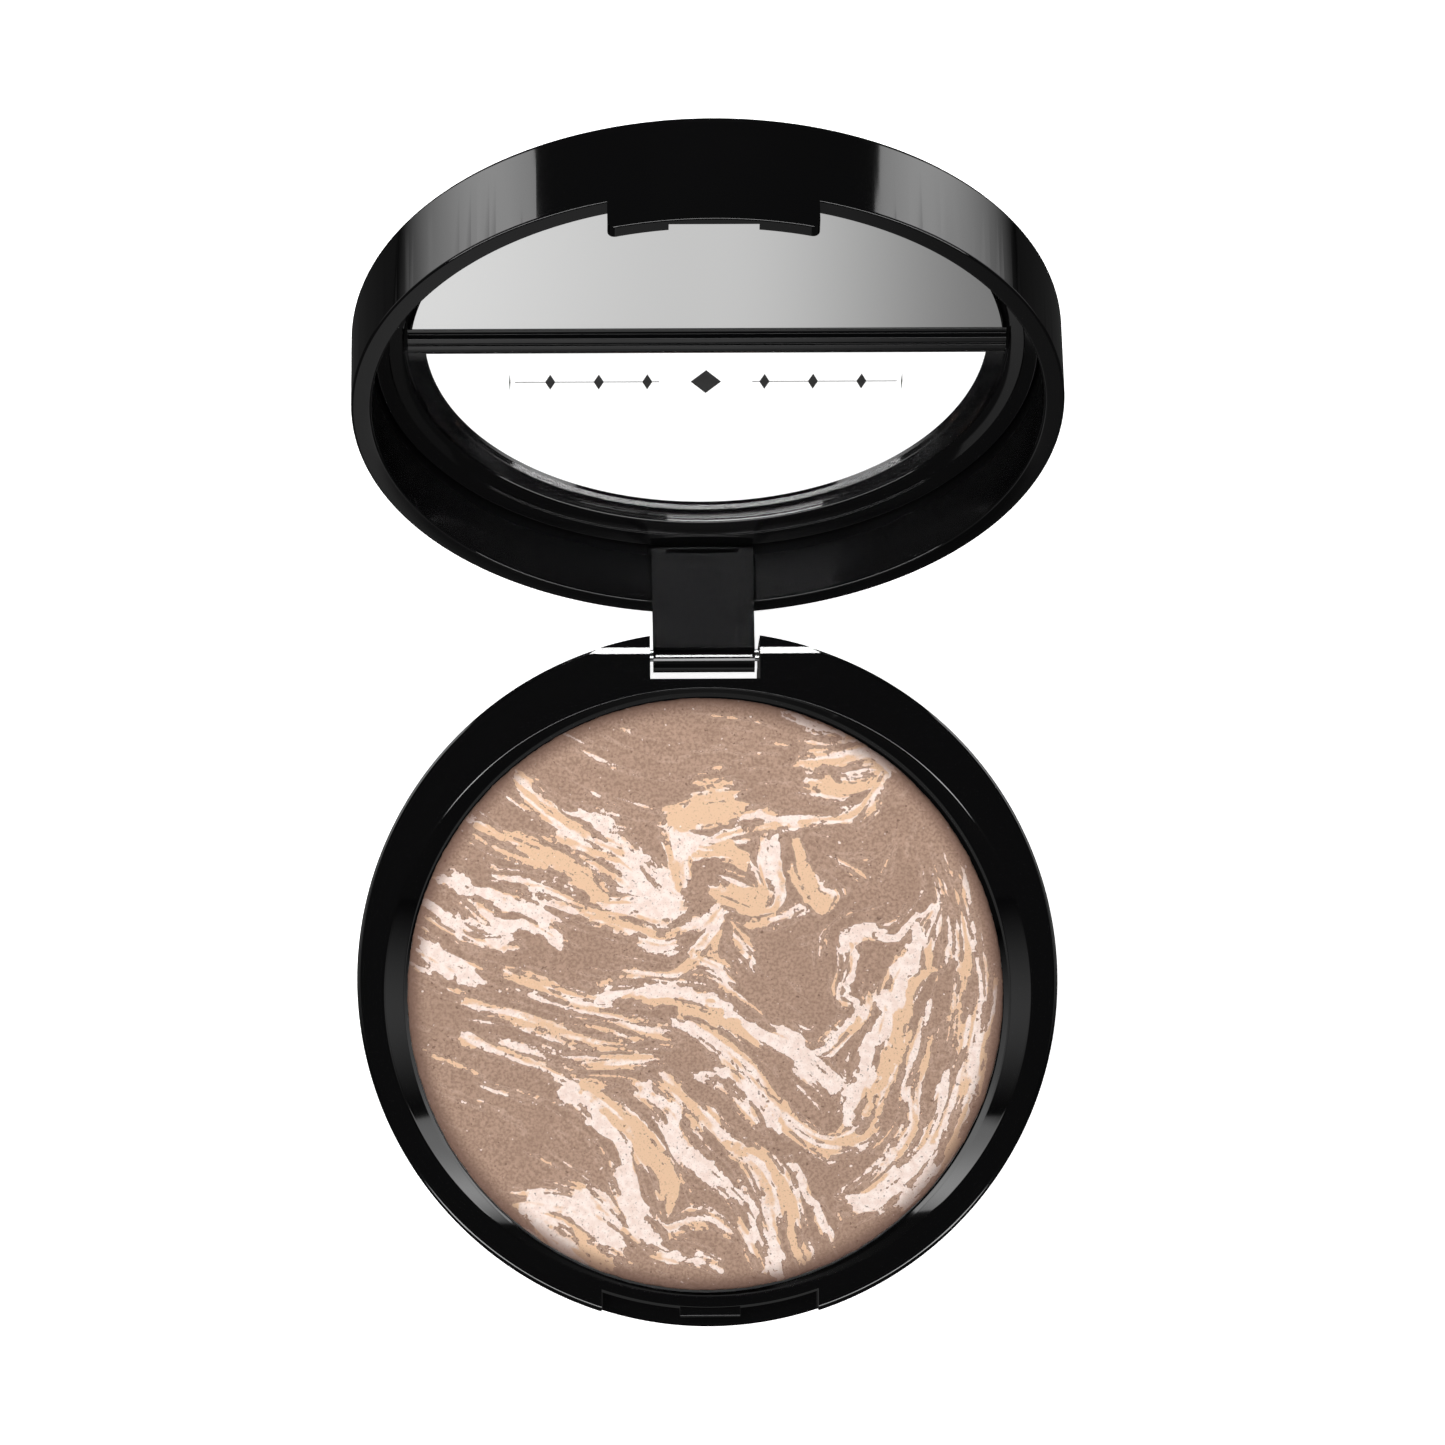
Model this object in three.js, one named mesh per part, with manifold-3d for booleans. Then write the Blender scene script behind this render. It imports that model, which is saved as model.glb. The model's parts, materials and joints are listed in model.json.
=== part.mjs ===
// Round powder compact, open: a base with a pressed powder in its pan, and a hinged lid
// whose roof is half mirror and half clear window.
// Millimetres, +Z up. Origin: centre of the base's underside. -Y is the front (catch), +Y the hinge.

import * as THREE from 'three';
import { mergeVertices } from 'three/addons/utils/BufferGeometryUtils.js';
import Module from 'manifold-3d';

const wasm = await Module();
wasm.setup();

// ---------------------------------------------------------------- driving dimensions

const R = 35;                 // outer radius of the lid, and of the base at its rim
const SEGMENTS = 72;          // sides of a large round
const CUT = 2;                // how far a cutter runs past the face it cuts

// base
const BASE_H = 14.2;          // underside to rim
const FOOT_R = 32.9;          // the base narrows to this at its underside
const HOLLOW_R = 31.7;        // inside of the body below the well
const BOTTOM_H = 2.9;         // height of the bottom cover
const SEAM = 0.3;             // shadow gap between cover and body
const FLOOR_UNDER = 8.3;      // underside of the well floor
const WELL_FLOOR = 9.6;
const WELL_Y = -1.35;         // the well sits this far towards the front
const POWDER_X = -0.2;        // the pan is glued a little to the left in it
const WELL_R = 30.2;
const BEVEL_A = 32.35;        // the bevel's outer edge: half width and half depth
const BEVEL_B = 30.4;
const BEVEL_H = 1.3;
const EDGE = 0.3;             // small edge break on the mouldings
const LABEL_R = 27;
const LABEL_T = 0.2;

// powder
const PAN_R = 29.7;
const PAN_Z = 10.05;
const PAN_T = 0.4;
const PAN_H = 2.15;
const CAKE_R = 29.75;
const CAKE_EDGE_Z = 12.9;
const CAKE_CROWN_Z = 13.9;

// hinge
const HINGE_Y = 33.3;
const HINGE_DROP = 5.9;       // pin centre below the rim
const OPEN_DEG = 116;         // opening angle as modelled
const PIN_R = 0.6;
const PIN_HALF = 9.6;
const NOTCH_HALF = 5.5;
const NOTCH_FRONT_Y = 30.07;
const HOUSING_HALF = 10.5;
const HOUSING_FRONT_Y = 28.4;
const TONGUE_HALF = 5.1;
const KNUCKLE_R = 1.7;
const FALL_Y = 32.6;          // where the rim starts to step down behind
const FALL_DEPTH = 0.45;

// catch
const RECESS_HALF = 10.75;
const RECESS_R = 32.8;        // its inner wall follows the rim
const RECESS_DEPTH = 3.2;
const NUB_HALF = 3;
const NUB_Y = -33.7;
const TAB_HALF = 10.1;
const TAB_DROP = 3.17;        // how far the tab hangs below the lid's mouth
const TAB_INNER_R = 33.4;
const NUB_ROOM_HALF = 4.3;    // hollow in the tab that passes the nub

// lid, heights from its mouth
const MOUTH_GAP = 0.3;
const LID_H = 9.25;
const ROOF_UNDER = 8.42;
const LID_INNER_R = 33;
const RING_LOW_R = 32.7;
const RING_LOW_H = 6.6;
const RING_IN_R = 29.8;
const RING_IN_H = 7.65;
const INSERT_TOP = 8.3;       // inserts stop just short of the roof
const WINDOW_R = 27.75;       // opening in the roof
const WINDOW_EDGE = 1.7;      // its straight side
const BAR_Y = -1.4;           // middle of the divider bar
const BAR_HALF = 1.85;
const SPLIT_GAP = 0.15;       // between the bar and the panes

// ---------------------------------------------------------------- helpers

// A three.js geometry as a solid that can be joined and cut.
function solid(geometry) {
  const bare = geometry.clone();
  bare.deleteAttribute('normal');
  bare.deleteAttribute('uv');
  const merged = mergeVertices(bare, 1e-4);
  const vertProperties = new Float32Array(merged.attributes.position.array);
  const triVerts = new Uint32Array(merged.index.array);
  return new wasm.Manifold(new wasm.Mesh({ numProp: 3, vertProperties, triVerts }));
}

// A cut or joined solid as a three.js geometry.
function geometryOf(manifold) {
  const mesh = manifold.getMesh();
  const geometry = new THREE.BufferGeometry();
  geometry.setAttribute('position', new THREE.BufferAttribute(mesh.vertProperties, 3));
  geometry.setIndex(new THREE.BufferAttribute(mesh.triVerts, 1));
  geometry.computeVertexNormals();
  return geometry;
}

// A profile of [radius, height] points turned about Z, counterclockwise from the axis.
function lathe(profile, segments = SEGMENTS) {
  const points = profile.map(([r, z]) => new THREE.Vector2(r, z));
  return new THREE.LatheGeometry(points, segments).rotateX(Math.PI / 2);
}

// The same for a ring: the profile closes on itself.
function ring(profile, segments = SEGMENTS) {
  return lathe([...profile, profile[0]], segments);
}

function disc(radius, z0, z1, segments = SEGMENTS) {
  return lathe([[0, z0], [radius, z0], [radius, z1], [0, z1]], segments);
}

function box([x0, x1], [y0, y1], [z0, z1]) {
  const geometry = new THREE.BoxGeometry(x1 - x0, y1 - y0, z1 - z0);
  return geometry.translate((x0 + x1) / 2, (y0 + y1) / 2, (z0 + z1) / 2);
}

// A round bar along X.
function barX(radius, [x0, x1], y, z, sides = 20) {
  const geometry = new THREE.CylinderGeometry(radius, radius, x1 - x0, sides).rotateZ(Math.PI / 2);
  return geometry.translate((x0 + x1) / 2, y, z);
}

// An outline of [y, z] points drawn out along X.
function prismX(outline, [x0, x1]) {
  const shape = new THREE.Shape(outline.map(([y, z]) => new THREE.Vector2(y, z)));
  const geometry = new THREE.ExtrudeGeometry(shape, { depth: x1 - x0, bevelEnabled: false });
  const turn = new THREE.Matrix4().makeBasis(
    new THREE.Vector3(0, 1, 0), new THREE.Vector3(0, 0, 1), new THREE.Vector3(1, 0, 0));
  return geometry.applyMatrix4(turn).translate(x0, 0, 0);
}

// A plate with a round side of the given radius and a straight side at y = edge.
// side +1 keeps the part behind the straight side, -1 the part in front.
function halfMoon(radius, edge, side, [z0, z1], steps = 36) {
  const start = Math.asin((side * edge) / radius);
  const points = [];
  for (let i = 0; i <= steps; i++) {
    const angle = start + (i / steps) * (Math.PI - 2 * start);
    points.push(new THREE.Vector2(radius * Math.cos(angle), side * radius * Math.sin(angle)));
  }
  const shape = new THREE.Shape(points);
  return new THREE.ExtrudeGeometry(shape, { depth: z1 - z0, bevelEnabled: false }).translate(0, 0, z0);
}

// A stack of ellipses [half width, half depth, z], closed at both ends, centred on y = centre.
function ellipseStack(rings, centre, segments = SEGMENTS) {
  const positions = [];
  const index = [];
  for (const [a, b, z] of rings) {
    for (let i = 0; i < segments; i++) {
      const angle = (i / segments) * Math.PI * 2;
      positions.push(a * Math.cos(angle), centre + b * Math.sin(angle), z);
    }
  }
  const bottom = positions.length / 3;
  positions.push(0, centre, rings[0][2]);
  const top = positions.length / 3;
  positions.push(0, centre, rings[rings.length - 1][2]);
  const lastRing = (rings.length - 1) * segments;
  for (let i = 0; i < segments; i++) {
    const next = (i + 1) % segments;
    for (let k = 0; k < rings.length - 1; k++) {
      const low = k * segments;
      const high = low + segments;
      index.push(low + i, low + next, high + next);
      index.push(low + i, high + next, high + i);
    }
    index.push(bottom, next, i);
    index.push(top, lastRing + i, lastRing + next);
  }
  const geometry = new THREE.BufferGeometry();
  geometry.setAttribute('position', new THREE.Float32BufferAttribute(positions, 3));
  geometry.setIndex(index);
  return geometry;
}

const MATERIALS = {
  blackGloss: new THREE.MeshStandardMaterial({ color: 0x0c0c0d, roughness: 0.18, metalness: 0 }),
  powder: new THREE.MeshStandardMaterial({ color: 0xdcc0ae, roughness: 0.95, metalness: 0 }),
  aluminium: new THREE.MeshStandardMaterial({ color: 0xc6c8ca, roughness: 0.35, metalness: 1 }),
  steel: new THREE.MeshStandardMaterial({ color: 0xb4b6b8, roughness: 0.25, metalness: 1 }),
  mirror: new THREE.MeshStandardMaterial({ color: 0xe8eaec, roughness: 0.03, metalness: 1 }),
  clear: new THREE.MeshStandardMaterial({ color: 0xf4f6f6, roughness: 0.05, metalness: 0, opacity: 0.3,
    transparent: true }),
  glue: new THREE.MeshStandardMaterial({ color: 0xe6e0cf, roughness: 0.6, metalness: 0 }),
  paper: new THREE.MeshStandardMaterial({ color: 0xe9e9e6, roughness: 0.7, metalness: 0 }),
};

function piece(name, shape, material) {
  const geometry = shape instanceof wasm.Manifold ? geometryOf(shape) : shape;
  const mesh = new THREE.Mesh(geometry, MATERIALS[material]);
  mesh.name = name;
  return mesh;
}

// ---------------------------------------------------------------- base

const PIN_Z = BASE_H - HINGE_DROP;
const BODY_Z = BOTTOM_H + SEAM;
const BEHIND = R + CUT;

// Outer radius of the base at a height: its side leans in towards the underside.
function sideR(z) {
  return FOOT_R + ((R - FOOT_R) * z) / BASE_H;
}

// The slot that the lid's tongue swings in, open above, below and behind.
function hingeNotch() {
  return solid(box([-NOTCH_HALF, NOTCH_HALF], [NOTCH_FRONT_Y, BEHIND], [-CUT, BASE_H + CUT]));
}

function baseBody() {
  const outline = solid(lathe([
    [0, BODY_Z],
    [sideR(BODY_Z), BODY_Z],
    [sideR(BASE_H - EDGE), BASE_H - EDGE],
    [R - EDGE, BASE_H],
    [0, BASE_H],
  ]));
  const hollow = solid(disc(HOLLOW_R, BODY_Z - CUT, FLOOR_UNDER));
  // the boss that carries the pin stands out of the leaning side, as far as the rim does
  const housing = solid(box([-HOUSING_HALF, HOUSING_HALF], [HOUSING_FRONT_Y, BEHIND],
    [BODY_Z, BASE_H])).intersect(solid(disc(R - EDGE / 2, BODY_Z, BASE_H)));
  const well = solid(ellipseStack([
    [WELL_R, WELL_R, WELL_FLOOR],
    [WELL_R, WELL_R, BASE_H - BEVEL_H],
    [BEVEL_A, BEVEL_B, BASE_H],
    [BEVEL_A, BEVEL_B, BASE_H + CUT],
  ], WELL_Y));
  // at the hinge line the rim steps down a slope, so the lid's skirt can turn past it
  const rearFall = solid(prismX([
    [FALL_Y - CUT, BASE_H + CUT],
    [FALL_Y - CUT, BASE_H],
    [FALL_Y, BASE_H],
    [HINGE_Y, BASE_H - FALL_DEPTH],
    [BEHIND, BASE_H - FALL_DEPTH],
    [BEHIND, BASE_H + CUT],
  ], [-R, R]));
  const recess = solid(box([-RECESS_HALF, RECESS_HALF], [-BEHIND, 0], [BASE_H - RECESS_DEPTH, BASE_H + CUT]))
    .subtract(solid(disc(RECESS_R, BASE_H - 2 * RECESS_DEPTH, BASE_H + 2 * CUT)));
  const nubTop = BASE_H - 0.8;
  const nubRoot = -RECESS_R + 0.4;
  const nub = solid(prismX([
    [nubRoot, nubTop - 1.2],
    [nubRoot - 0.4, nubTop - 1.2],
    [NUB_Y, nubTop - 0.5],
    [NUB_Y, nubTop - 0.2],
    [NUB_Y + 0.2, nubTop],
    [nubRoot, nubTop],
  ].reverse(), [-NUB_HALF, NUB_HALF]));
  const bore = solid(barX(PIN_R + 0.1, [-PIN_HALF - SEAM, R], HINGE_Y, PIN_Z));
  return outline
    .subtract(hollow)
    .add(housing)
    .subtract(well)
    .subtract(hingeNotch())
    .subtract(rearFall)
    .subtract(recess)
    .add(nub)
    .subtract(bore);
}

function baseBottom() {
  const spigotOut = HOLLOW_R - SEAM;
  const spigotIn = spigotOut - 1.5;
  const spigotTop = BODY_Z + 1.4;
  const plate = 2;
  const foot = 1.1;
  const cover = solid(lathe([
    [0, LABEL_T + SEAM],
    [LABEL_R + SEAM, LABEL_T + SEAM],
    [LABEL_R + SEAM, 0],
    [FOOT_R - foot, 0],
    [sideR(foot), foot],
    [sideR(BOTTOM_H), BOTTOM_H],
    [spigotOut, BOTTOM_H],
    [spigotOut, spigotTop],
    [spigotIn, spigotTop],
    [spigotIn, plate],
    [0, plate],
  ]));
  const clear = HOUSING_HALF + SEAM;
  const housingRoom = solid(box([-clear, clear], [HOUSING_FRONT_Y - SEAM, BEHIND],
    [BOTTOM_H, spigotTop + CUT]));
  return cover.subtract(housingRoom).subtract(hingeNotch());
}

function powderPan() {
  const rim = PAN_Z + PAN_H;
  return lathe([
    [0, PAN_Z],
    [PAN_R, PAN_Z],
    [PAN_R, rim],
    [PAN_R - PAN_T, rim],
    [PAN_R - PAN_T, PAN_Z + PAN_T],
    [0, PAN_Z + PAN_T],
  ]).translate(POWDER_X, WELL_Y, 0);
}

// The pressed powder fills the pan, laps over its rim and rises to a low crown.
function powderCake() {
  const inside = PAN_R - PAN_T - SEAM;
  const lap = PAN_Z + PAN_H + SEAM;
  const shoulder = 0.4;
  const profile = [
    [0, PAN_Z + PAN_T + 0.15],
    [inside, PAN_Z + PAN_T + 0.15],
    [inside, lap],
    [CAKE_R, lap],
    [CAKE_R, CAKE_EDGE_Z],
    [CAKE_R - shoulder, CAKE_EDGE_Z + shoulder / 2],
  ];
  const crownSteps = 4;
  const start = CAKE_R - shoulder;
  for (let i = 1; i <= crownSteps; i++) {
    const t = i / crownSteps;
    const edge = CAKE_EDGE_Z + shoulder / 2;
    profile.push([start * (1 - t), edge + (CAKE_CROWN_Z - edge) * (1 - (1 - t) ** 2)]);
  }
  return lathe(profile).translate(POWDER_X, WELL_Y, 0);
}

const base = new THREE.Group();
base.add(
  piece('base_bottom', baseBottom(), 'blackGloss'),
  piece('base_body', baseBody(), 'blackGloss'),
  piece('base_label', disc(LABEL_R, 0, LABEL_T), 'paper'),
  piece('hinge_pin', barX(PIN_R, [-PIN_HALF, PIN_HALF + 0.8], HINGE_Y, PIN_Z), 'steel'),
  piece('pan_glue', disc(12, WELL_FLOOR + 0.1, PAN_Z - 0.1, 24).translate(POWDER_X, WELL_Y, 0), 'glue'),
  piece('powder_pan', powderPan(), 'aluminium'),
  piece('powder_cake', powderCake(), 'powder'),
);

// ---------------------------------------------------------------- lid

// In the lid's own frame: z = 0 at its mouth, +z towards its roof, as if it were closed.
const LID_PIN_Z = -HINGE_DROP - MOUTH_GAP;

function lidShell() {
  const roundR = 0.85;
  const profile = [
    [0, ROOF_UNDER],
    [LID_INNER_R - 0.1, ROOF_UNDER],
    [LID_INNER_R, EDGE],
    [LID_INNER_R + EDGE / 2, 0],
    [R - EDGE, 0],
    [R, EDGE],
  ];
  const roundSteps = 3;
  for (let i = 0; i <= roundSteps; i++) {
    const angle = (i / roundSteps) * (Math.PI / 2);
    profile.push([R - roundR + roundR * Math.cos(angle), LID_H - roundR + roundR * Math.sin(angle)]);
  }
  profile.push([0, LID_H]);
  return solid(lathe(profile));
}

// The tongue runs down inside the skirt and ends in the knuckle round the pin.
function tongue() {
  const width = [-TONGUE_HALF, TONGUE_HALF];
  const front = HINGE_Y - KNUCKLE_R;
  const top = 6;
  const arm = solid(box(width, [front, HINGE_Y + KNUCKLE_R], [LID_PIN_Z, top]));
  const knuckle = solid(barX(KNUCKLE_R, width, HINGE_Y, LID_PIN_Z, 24));
  const panel = 3.6;
  const panelCut = solid(box([-panel, panel], [front - CUT, front + 0.5],
    [LID_PIN_Z + KNUCKLE_R + 0.6, top - 0.9]));
  const round = solid(disc(R, LID_PIN_Z - 2 * KNUCKLE_R, LID_H / 2));
  return arm.add(knuckle).subtract(panelCut).intersect(round);
}

function catchTab() {
  const corner = 0.8;
  const half = TAB_HALF - corner;
  const wall = solid(ring([
    [TAB_INNER_R, -TAB_DROP],
    [R, -TAB_DROP],
    [R, EDGE],
    [TAB_INNER_R, EDGE],
  ]));
  // seen from the front the two lower corners are rounded off
  const front = new THREE.Shape();
  front.moveTo(TAB_HALF, CUT);
  front.lineTo(-TAB_HALF, CUT);
  front.absarc(-half, corner - TAB_DROP, corner, Math.PI, 1.5 * Math.PI, false);
  front.absarc(half, corner - TAB_DROP, corner, 1.5 * Math.PI, 2 * Math.PI, false);
  const drawn = { depth: 2 * R, bevelEnabled: false, curveSegments: 4 };
  const rounded = solid(new THREE.ExtrudeGeometry(front, drawn).rotateX(Math.PI / 2));
  const nubRoom = solid(box([-NUB_ROOM_HALF, NUB_ROOM_HALF], [NUB_Y - SEAM, 0], [-TAB_DROP - CUT, -0.3]));
  return wall.intersect(rounded).subtract(nubRoom);
}

function lidFrame() {
  const opening = solid(halfMoon(WINDOW_R, WINDOW_EDGE, 1, [ROOF_UNDER - CUT, LID_H + CUT]));
  const bore = solid(barX(PIN_R + SEAM, [-2 * TONGUE_HALF, 2 * TONGUE_HALF], HINGE_Y, LID_PIN_Z));
  return lidShell().subtract(opening).add(tongue()).add(catchTab()).subtract(bore);
}

// The ring that hides the edges of the window and the mirror.
function innerRing() {
  return ring([
    [RING_IN_R, RING_IN_H],
    [RING_LOW_R, RING_LOW_H],
    [RING_LOW_R, INSERT_TOP],
    [RING_IN_R, INSERT_TOP],
  ]);
}

// The bar between mirror and window: a low slab with a raised, grooved rib.
function dividerBar() {
  const reach = 29.4;
  const slab = 7.45;
  const rib = 7;
  const groove = 7.2;
  return prismX([
    [-BAR_HALF, INSERT_TOP],
    [-BAR_HALF, slab],
    [-1.1, slab],
    [-0.9, rib],
    [-0.25, rib],
    [-0.25, groove],
    [0.25, groove],
    [0.25, rib],
    [0.9, rib],
    [1.1, slab],
    [BAR_HALF, slab],
    [BAR_HALF, INSERT_TOP],
  ], [-reach, reach]).translate(0, BAR_Y, 0);
}

const lidParts = new THREE.Group();
const windowPaneEdge = BAR_Y + BAR_HALF + SPLIT_GAP;
const mirrorEdge = BAR_Y - BAR_HALF - SPLIT_GAP;
lidParts.position.set(0, -HINGE_Y, -LID_PIN_Z);
lidParts.add(
  piece('lid_frame', lidFrame(), 'blackGloss'),
  piece('lid_inner_ring', innerRing(), 'blackGloss'),
  piece('divider_bar', dividerBar(), 'blackGloss'),
  piece('lid_window', halfMoon(RING_IN_R - SEAM, windowPaneEdge, 1, [7.6, INSERT_TOP]), 'clear'),
  piece('lid_mirror', halfMoon(29.3, mirrorEdge, -1, [7.35, 8.05]), 'mirror'),
  piece('mirror_tape', halfMoon(28, mirrorEdge - 1, -1, [8.13, 8.32], 24), 'glue'),
);

const lid = new THREE.Group();
lid.position.set(0, HINGE_Y, PIN_Z);
lid.rotation.x = THREE.MathUtils.degToRad(-OPEN_DEG);
lid.add(lidParts);

const compact = new THREE.Group();
compact.add(base, lid);
export default compact;
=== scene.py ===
# The looks of a round powder compact that stands open: polished black mouldings, a marbled pressed
# powder, and a lid lined half with mirror and half with a clear window. Metres, +Z up, -Y the front.
# Shapes are worked out in millimetres and scaled when their mesh is made.

import json
import math

import bpy
import numpy as np
from mathutils import Matrix, Vector

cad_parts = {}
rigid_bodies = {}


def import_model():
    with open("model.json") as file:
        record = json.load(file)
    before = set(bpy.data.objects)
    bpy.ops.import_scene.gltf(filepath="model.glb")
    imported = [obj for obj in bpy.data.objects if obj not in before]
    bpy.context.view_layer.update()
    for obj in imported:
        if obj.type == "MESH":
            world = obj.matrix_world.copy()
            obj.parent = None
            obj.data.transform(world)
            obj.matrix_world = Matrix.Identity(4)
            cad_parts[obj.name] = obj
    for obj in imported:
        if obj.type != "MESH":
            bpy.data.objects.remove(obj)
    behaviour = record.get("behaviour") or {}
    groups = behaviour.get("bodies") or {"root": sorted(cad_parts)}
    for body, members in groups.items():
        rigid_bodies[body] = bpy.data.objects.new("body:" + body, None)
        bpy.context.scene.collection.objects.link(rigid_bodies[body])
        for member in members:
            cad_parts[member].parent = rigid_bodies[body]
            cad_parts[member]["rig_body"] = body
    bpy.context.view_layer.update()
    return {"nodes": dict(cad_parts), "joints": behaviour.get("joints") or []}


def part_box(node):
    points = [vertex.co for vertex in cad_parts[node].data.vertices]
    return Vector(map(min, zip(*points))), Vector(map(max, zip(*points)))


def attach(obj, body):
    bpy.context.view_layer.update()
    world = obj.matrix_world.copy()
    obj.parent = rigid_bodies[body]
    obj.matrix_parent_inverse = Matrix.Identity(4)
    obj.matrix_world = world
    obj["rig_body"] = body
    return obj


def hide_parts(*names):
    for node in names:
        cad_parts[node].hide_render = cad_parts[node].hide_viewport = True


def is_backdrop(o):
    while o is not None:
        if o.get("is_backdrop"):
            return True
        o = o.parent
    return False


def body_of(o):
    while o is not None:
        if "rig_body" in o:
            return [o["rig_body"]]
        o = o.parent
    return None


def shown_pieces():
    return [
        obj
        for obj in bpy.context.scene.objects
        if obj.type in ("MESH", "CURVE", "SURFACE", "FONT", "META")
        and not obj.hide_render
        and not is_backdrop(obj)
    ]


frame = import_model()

MM = 0.001
SCENE = bpy.context.scene


def cad_mm(node):
    """A CAD node's lowest and highest corner, in millimetres."""
    low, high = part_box(node)
    return low / MM, high / MM


# ------------------------------------------------------------------ sizes, from the frame

body_low, body_high = cad_mm("base_body")
cake_low, cake_high = cad_mm("powder_cake")
pin_low, pin_high = cad_mm("hinge_pin")
R = body_high.x                       # outer radius of base and lid
RIM = body_high.z                     # height of the rim
BODY_Z = body_low.z                   # underside of the body
WELL_Y = (cake_low.y + cake_high.y) / 2
POWDER_X = (cake_low.x + cake_high.x) / 2
CAKE_R = (cake_high.x - cake_low.x) / 2
CROWN = cake_high.z
BOTTOM_TOP = cad_mm("base_bottom")[1].z
joint = frame["joints"][0]
HINGE = Vector(joint["pos_m"]) / MM
OPEN = math.radians(joint["range_deg"][1])
PIN_R = (pin_high.z - pin_low.z) / 2

# the base
SEAM = 0.3
FOOT_R = 32.9
HOLLOW_R = 31.7
HOUSING_HALF = 10.5
HOUSING_FRONT = 28.4
WELL_FLOOR = 9.6
WELL_R = 30.2
BEVEL_A = 32.35
BEVEL_B = 30.4
BEVEL_H = 1.3
NOTCH_HALF = 5.5
NOTCH_FRONT = 30.07
RECESS_HALF = 10.75
RECESS_R = 32.8
RECESS_DEPTH = 3.2
NUB_HALF = 3.0
NUB_Y = -33.7
FALL_Y = 32.6
FALL_DEPTH = 0.45
CAKE_EDGE_Z = 12.9
LABEL_R = 27.0
LABEL_THICK = 0.2

# the lid, in its own frame: z = 0 at its mouth, +z towards its roof
MOUTH_GAP = 0.3
LID_H = 9.25
ROOF_UNDER = 8.42
LID_IN_R = 33.0
RING_LOW = (32.7, 6.6)
RING_IN = (29.8, 7.65)
INSERT_TOP = 8.3
WINDOW_R = 27.75
WINDOW_EDGE = 1.7
BAR_Y = -1.4
BAR_HALF = 1.85
PANE_GAP = 0.15
WINDOW_UNDER = 7.6
MIRROR_R = 29.3
BAR_LENGTH = 58.8
TONGUE_HALF = 5.1
KNUCKLE_R = 1.7
TAB_HALF = 10.1
TAB_DROP = 3.17
TAB_INNER_R = 33.4
NUB_ROOM_HALF = 4.3

# the stage
FLOOR_HALF = 3000
FLOOR_Z = -0.02
LAMP_MIDDLE = Vector((0, 20, 20))       # the lamps face this point
LAMP_FAR = 500

# the powder's colours; the darkest, for pits, is also painted shade at the cake's rim
BROWN = (0.47, 0.315, 0.235)
BROWN_DARK = (0.33, 0.215, 0.158)
LINE = (0.26, 0.16, 0.115)
PIT_AND_RIM_SHADE = (0.15, 0.085, 0.065)
TAN = (0.68, 0.49, 0.39)
WHITE = (0.98, 0.84, 0.77)
WHITE_DULL = (0.88, 0.7, 0.62)
PEACH = (0.80, 0.54, 0.36)

STEPS = 288                           # sides of a large round
LID_PIN_Z = HINGE.z - RIM - MOUTH_GAP
LID = (
    Matrix.Translation(HINGE * MM)
    @ Matrix.Rotation(-OPEN, 4, "X")
    @ Matrix.Translation(Vector((0, -HINGE.y, -LID_PIN_Z)) * MM)
)

# ------------------------------------------------------------------ mesh helpers


def mesh_object(name, vertices, faces):
    """A linked object from points in millimetres."""
    mesh = bpy.data.meshes.new(name)
    mesh.from_pydata([Vector(v) * MM for v in vertices], [], faces)
    mesh.validate()
    mesh.update()
    made = bpy.data.objects.new(name, mesh)
    SCENE.collection.objects.link(made)
    return made


def rounded(points, radii, closed=False, steps=8):
    """The outline with each corner turned into an arc of its radius; 0 keeps it sharp."""
    out = []
    count = len(points)
    for i, (point, radius) in enumerate(zip(points, radii)):
        here = Vector(point)
        if radius <= 0 or (not closed and i in (0, count - 1)):
            out.append(tuple(here))
            continue
        back = (Vector(points[i - 1]) - here).normalized()
        ahead = (Vector(points[(i + 1) % count]) - here).normalized()
        half = back.angle(ahead) / 2
        reach = radius / math.tan(half)
        centre = here + (back + ahead).normalized() * (radius / math.sin(half))
        start = here + back * reach - centre
        end = here + ahead * reach - centre
        turn = start.angle_signed(end)
        for k in range(steps + 1):
            spun = start.copy()
            spun.rotate(Matrix.Rotation(-turn * k / steps, 2))
            out.append(tuple(centre + spun))
    return out


def rings_object(name, rings, closed=False):
    """Skin over rings of equal length. A ring of one point closes an end; closed joins last to first."""
    vertices = []
    starts = []
    for ring in rings:
        starts.append(len(vertices))
        vertices.extend(ring)
    faces = []
    pairs = list(zip(range(len(rings) - 1), range(1, len(rings))))
    if closed:
        pairs.append((len(rings) - 1, 0))

    def at(ring, i):
        return starts[ring] + i % len(rings[ring])

    for a, b in pairs:
        for i in range(max(len(rings[a]), len(rings[b]))):
            corners = (at(a, i), at(a, i + 1), at(b, i + 1), at(b, i))
            faces.append(tuple(dict.fromkeys(corners)))
    return mesh_object(name, vertices, faces)


def circle(a, b, z, centre=(0, 0), steps=STEPS):
    """An ellipse of points, counterclockwise, or one point where its radius is nothing."""
    if a < 1e-6:
        return [(centre[0], centre[1], z)]
    turns = [2 * math.pi * i / steps for i in range(steps)]
    return [(centre[0] + a * math.cos(t), centre[1] + b * math.sin(t), z) for t in turns]


def turned(name, profile, centre=(0, 0), steps=STEPS, closed=False):
    """A profile of (radius, height) turned about Z: counterclockwise, from axis to axis or closed."""
    return rings_object(name, [circle(r, r, z, centre, steps) for r, z in profile], closed)


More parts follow.
